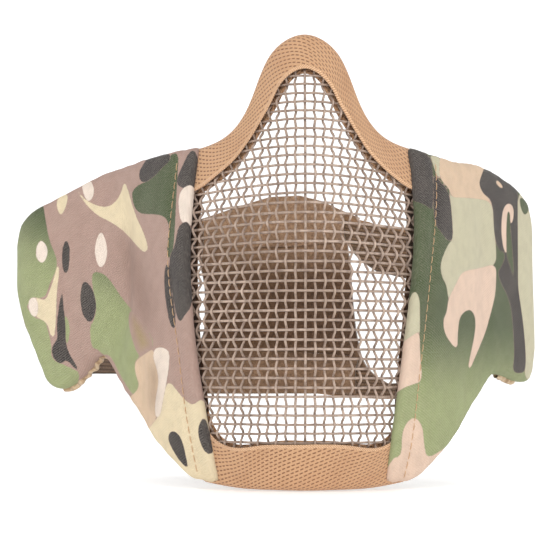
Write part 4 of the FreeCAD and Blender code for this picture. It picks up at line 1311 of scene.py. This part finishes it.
TARGET = Vector((TARGET_X, 0, 0)) * MM
TILT = math.radians(-2.5)
camera = add_object("camera", bpy.data.cameras.new("camera"))
aim(camera, TARGET + Vector((0, -math.cos(TILT), math.sin(TILT))) * CAMERA_AWAY * MM, TARGET)
camera.data.lens, camera.data.sensor_width = 152.7, 36
camera.data.clip_start, camera.data.clip_end = 0.05, 20
bpy.context.scene.camera = camera

world = bpy.data.worlds.new("studio")
bpy.context.scene.world = world
world.use_nodes = True
sky = world.node_tree.nodes["Background"]
sky.inputs["Color"].default_value = (1, 1, 1, 1)
sky.inputs["Strength"].default_value = 0.36


# Each area light's place and size in metres, and its power in watts.
for name, place, size, power in (
    ("key", (-0.15, -1.5, 0.75), 1.0, 7.6),
    ("fill", (0.9, -0.9, 0.2), 0.9, 1.5),
    ("back", (0.1, 1.0, 0.9), 1.2, 4.4),
):
    light = bpy.data.lights.new(name, "AREA")
    light.size, light.energy = size, power
    aim(add_object(name, light), Vector(place), Vector((0, -20, 0)) * MM)


def studio_floor():
    """A pale round floor that sweeps up into a backdrop on every side."""
    level, flat_radius, sweep, wall_top, spokes = cad_low[2] / MM, 2400, 700, 3600, 64
    profile = [(radius, level) for radius in (400, 900, 1500, flat_radius)]
    profile += [(flat_radius + sweep * math.sin(turn), level + sweep * (1 - math.cos(turn)))
                for turn in np.radians(np.arange(11.25, 90.1, 11.25))]
    profile.append((flat_radius + sweep, level + wall_top))
    turns = np.arange(spokes) * 2 * math.pi / spokes
    points = [(radius * math.cos(turn), radius * math.sin(turn), z)
              for radius, z in profile for turn in turns]
    faces = [tuple(range(spokes))] + grid_faces(len(profile), spokes, close=True, flip=True)
    floor = make_mesh("floor", points, faces, smooth=False)
    look = Look("floor", roughness=0.7, specular=0.1)
    tint = look.ramp(look.noise(look.place(), 400, 3), 0.3, 0.7)
    look.shader.inputs["Emission Color"].default_value = (1, 1, 1, 1)
    look.shader.inputs["Emission Strength"].default_value = 0.3
    floor.data.materials.append(look.finish(look.mix(tint, (0.93, 0.93, 0.93), (0.96, 0.96, 0.955))))


studio_floor()
bpy.context.scene.view_settings.view_transform = "Standard"


# ---------------------------------------------------------------- the pieces

wires = woven_wires()
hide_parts("mesh_panel")
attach(wires, "face_piece")

nose = folded_webbing("nose_webbing", NOSE_EDGE + [(41, 43.9)], NOSE_INNER + [(41, 28)])
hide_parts("nose_binding")
chin = folded_webbing("chin_webbing", CHIN_EDGE, CHIN_INNER)
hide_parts("chin_band")
for piece in (nose, chin):
    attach(piece, "face_piece")


def on_cover(cover_piece, spots):
    """Where rays towards the back, from spots in front, meet a cover; and which of them do."""
    tree = BVHTree.FromObject(cover_piece, bpy.context.evaluated_depsgraph_get())
    hits = [tree.ray_cast(Vector(spot * MM), Vector((0, 1, 0)))[0] for spot in spots]
    met = np.array([hit is not None for hit in hits])
    return np.array([hit for hit in hits if hit is not None]) / MM, met


STITCH_LENGTH, STITCH_GAP, THREAD_RADIUS, STITCH_RINGS = 3.4, 0.25, 0.17, 7


def stitch_row(name, path, up):
    """Short raised stitches that dive into the cloth at both ends."""
    steps = lengths_along(path)
    points, faces, start = [], [], 0
    for begin in np.arange(0.5, steps[-1] - STITCH_LENGTH, STITCH_LENGTH + STITCH_GAP):
        at = begin + np.linspace(0, STITCH_LENGTH, STITCH_RINGS)
        spots, above = resample(at, steps, path), unit(resample(at, steps, up))
        arch = np.sin(np.linspace(0, math.pi, STITCH_RINGS)) ** 0.6 * 0.45 - 0.3
        rings = tube_rings(spots + above * arch[:, None], above, THREAD_RADIUS)
        points.append(rings.reshape(-1, 3))
        faces += grid_faces(STITCH_RINGS, TUBE_SIDES, start, close=True)
        start += STITCH_RINGS * TUBE_SIDES
    piece = make_mesh(name, np.concatenate(points), faces)
    piece.data.materials.append(thread)
    return piece


# The stitched line is found by rays from this depth, in front of the mask.
RAY_START, SEAM_POINTS = -120.0, 160

for side, sign in SIDES.items():
    wing = f"{side}_wing"
    outer, points, normals, along = cover(side)
    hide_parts(f"{side}_cheek_cover", f"{side}_cheek_foam", f"{side}_wing_cover", f"{side}_wing_foam",
                f"{side}_fold_seam")
    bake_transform(outer)

    inner = lining(side, points, normals, along)
    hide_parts(f"{side}_cheek_lining", f"{side}_wing_lining")
    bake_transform(inner)

    tape = edge_tape(side, points, normals, along)
    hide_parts(f"{side}_wing_hem")
    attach(tape, wing)

    line = curve_through(SEAM_LINE[side])(np.linspace(0.01, 0.985, SEAM_POINTS))
    ahead = np.stack([line[:, 0] * sign, np.full(SEAM_POINTS, RAY_START), line[:, 1]], axis=-1)
    path, met = on_cover(outer, ahead)
    up = surface_normal(line[met, 0] * sign, line[met, 1])
    stitches = stitch_row(f"{side}_stitches", path, up)
    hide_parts(f"{side}_topstitch")
    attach(stitches, "face_piece")

    for level in ("upper", "lower"):
        spots, outward, total = strap_route(side, level)
        middle = slider_station(spots)
        width = STRAPS[level]["width"]
        tucked, tucked_normals = sewn_end(spots[:middle + 1], outward[:middle + 1], level)
        front = strap_piece(f"{side}_{level}_strap_front", tucked, tucked_normals, width, -STRAP_TUCK[level],
                            limits=wing_limits if level == "lower" else None)
        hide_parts(f"{side}_{level}_strap")
        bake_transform(front)
        back = strap_piece(f"{side}_{level}_strap_rear", spots[middle:], outward[middle:], width,
                           total * middle / (STRAP_STATIONS - 1),
                           limits=upper_limits if level == "upper" else lower_limits)
        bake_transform(back)
        slider_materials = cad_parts[f"{side}_{level}_slider"].data.materials
        slider_materials.clear()
        slider_materials.append(plastic)

for name, low, high, left, right in (
    ("panel_upper_band", STRAP_LOW, [(x, z - 0.2) for x, z in PANEL_TOP], -43.0, 20.4),
    ("panel_lower_band", [(-60, -46.4), (60, -46.4)], LOWER_HIGH, -44.0, 25.4),
):
    band = panel_band(name, low, high, left, right)
    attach(band, "rear_harness")

panel = rear_panel()
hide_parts("rear_patch")
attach(panel, "rear_harness")
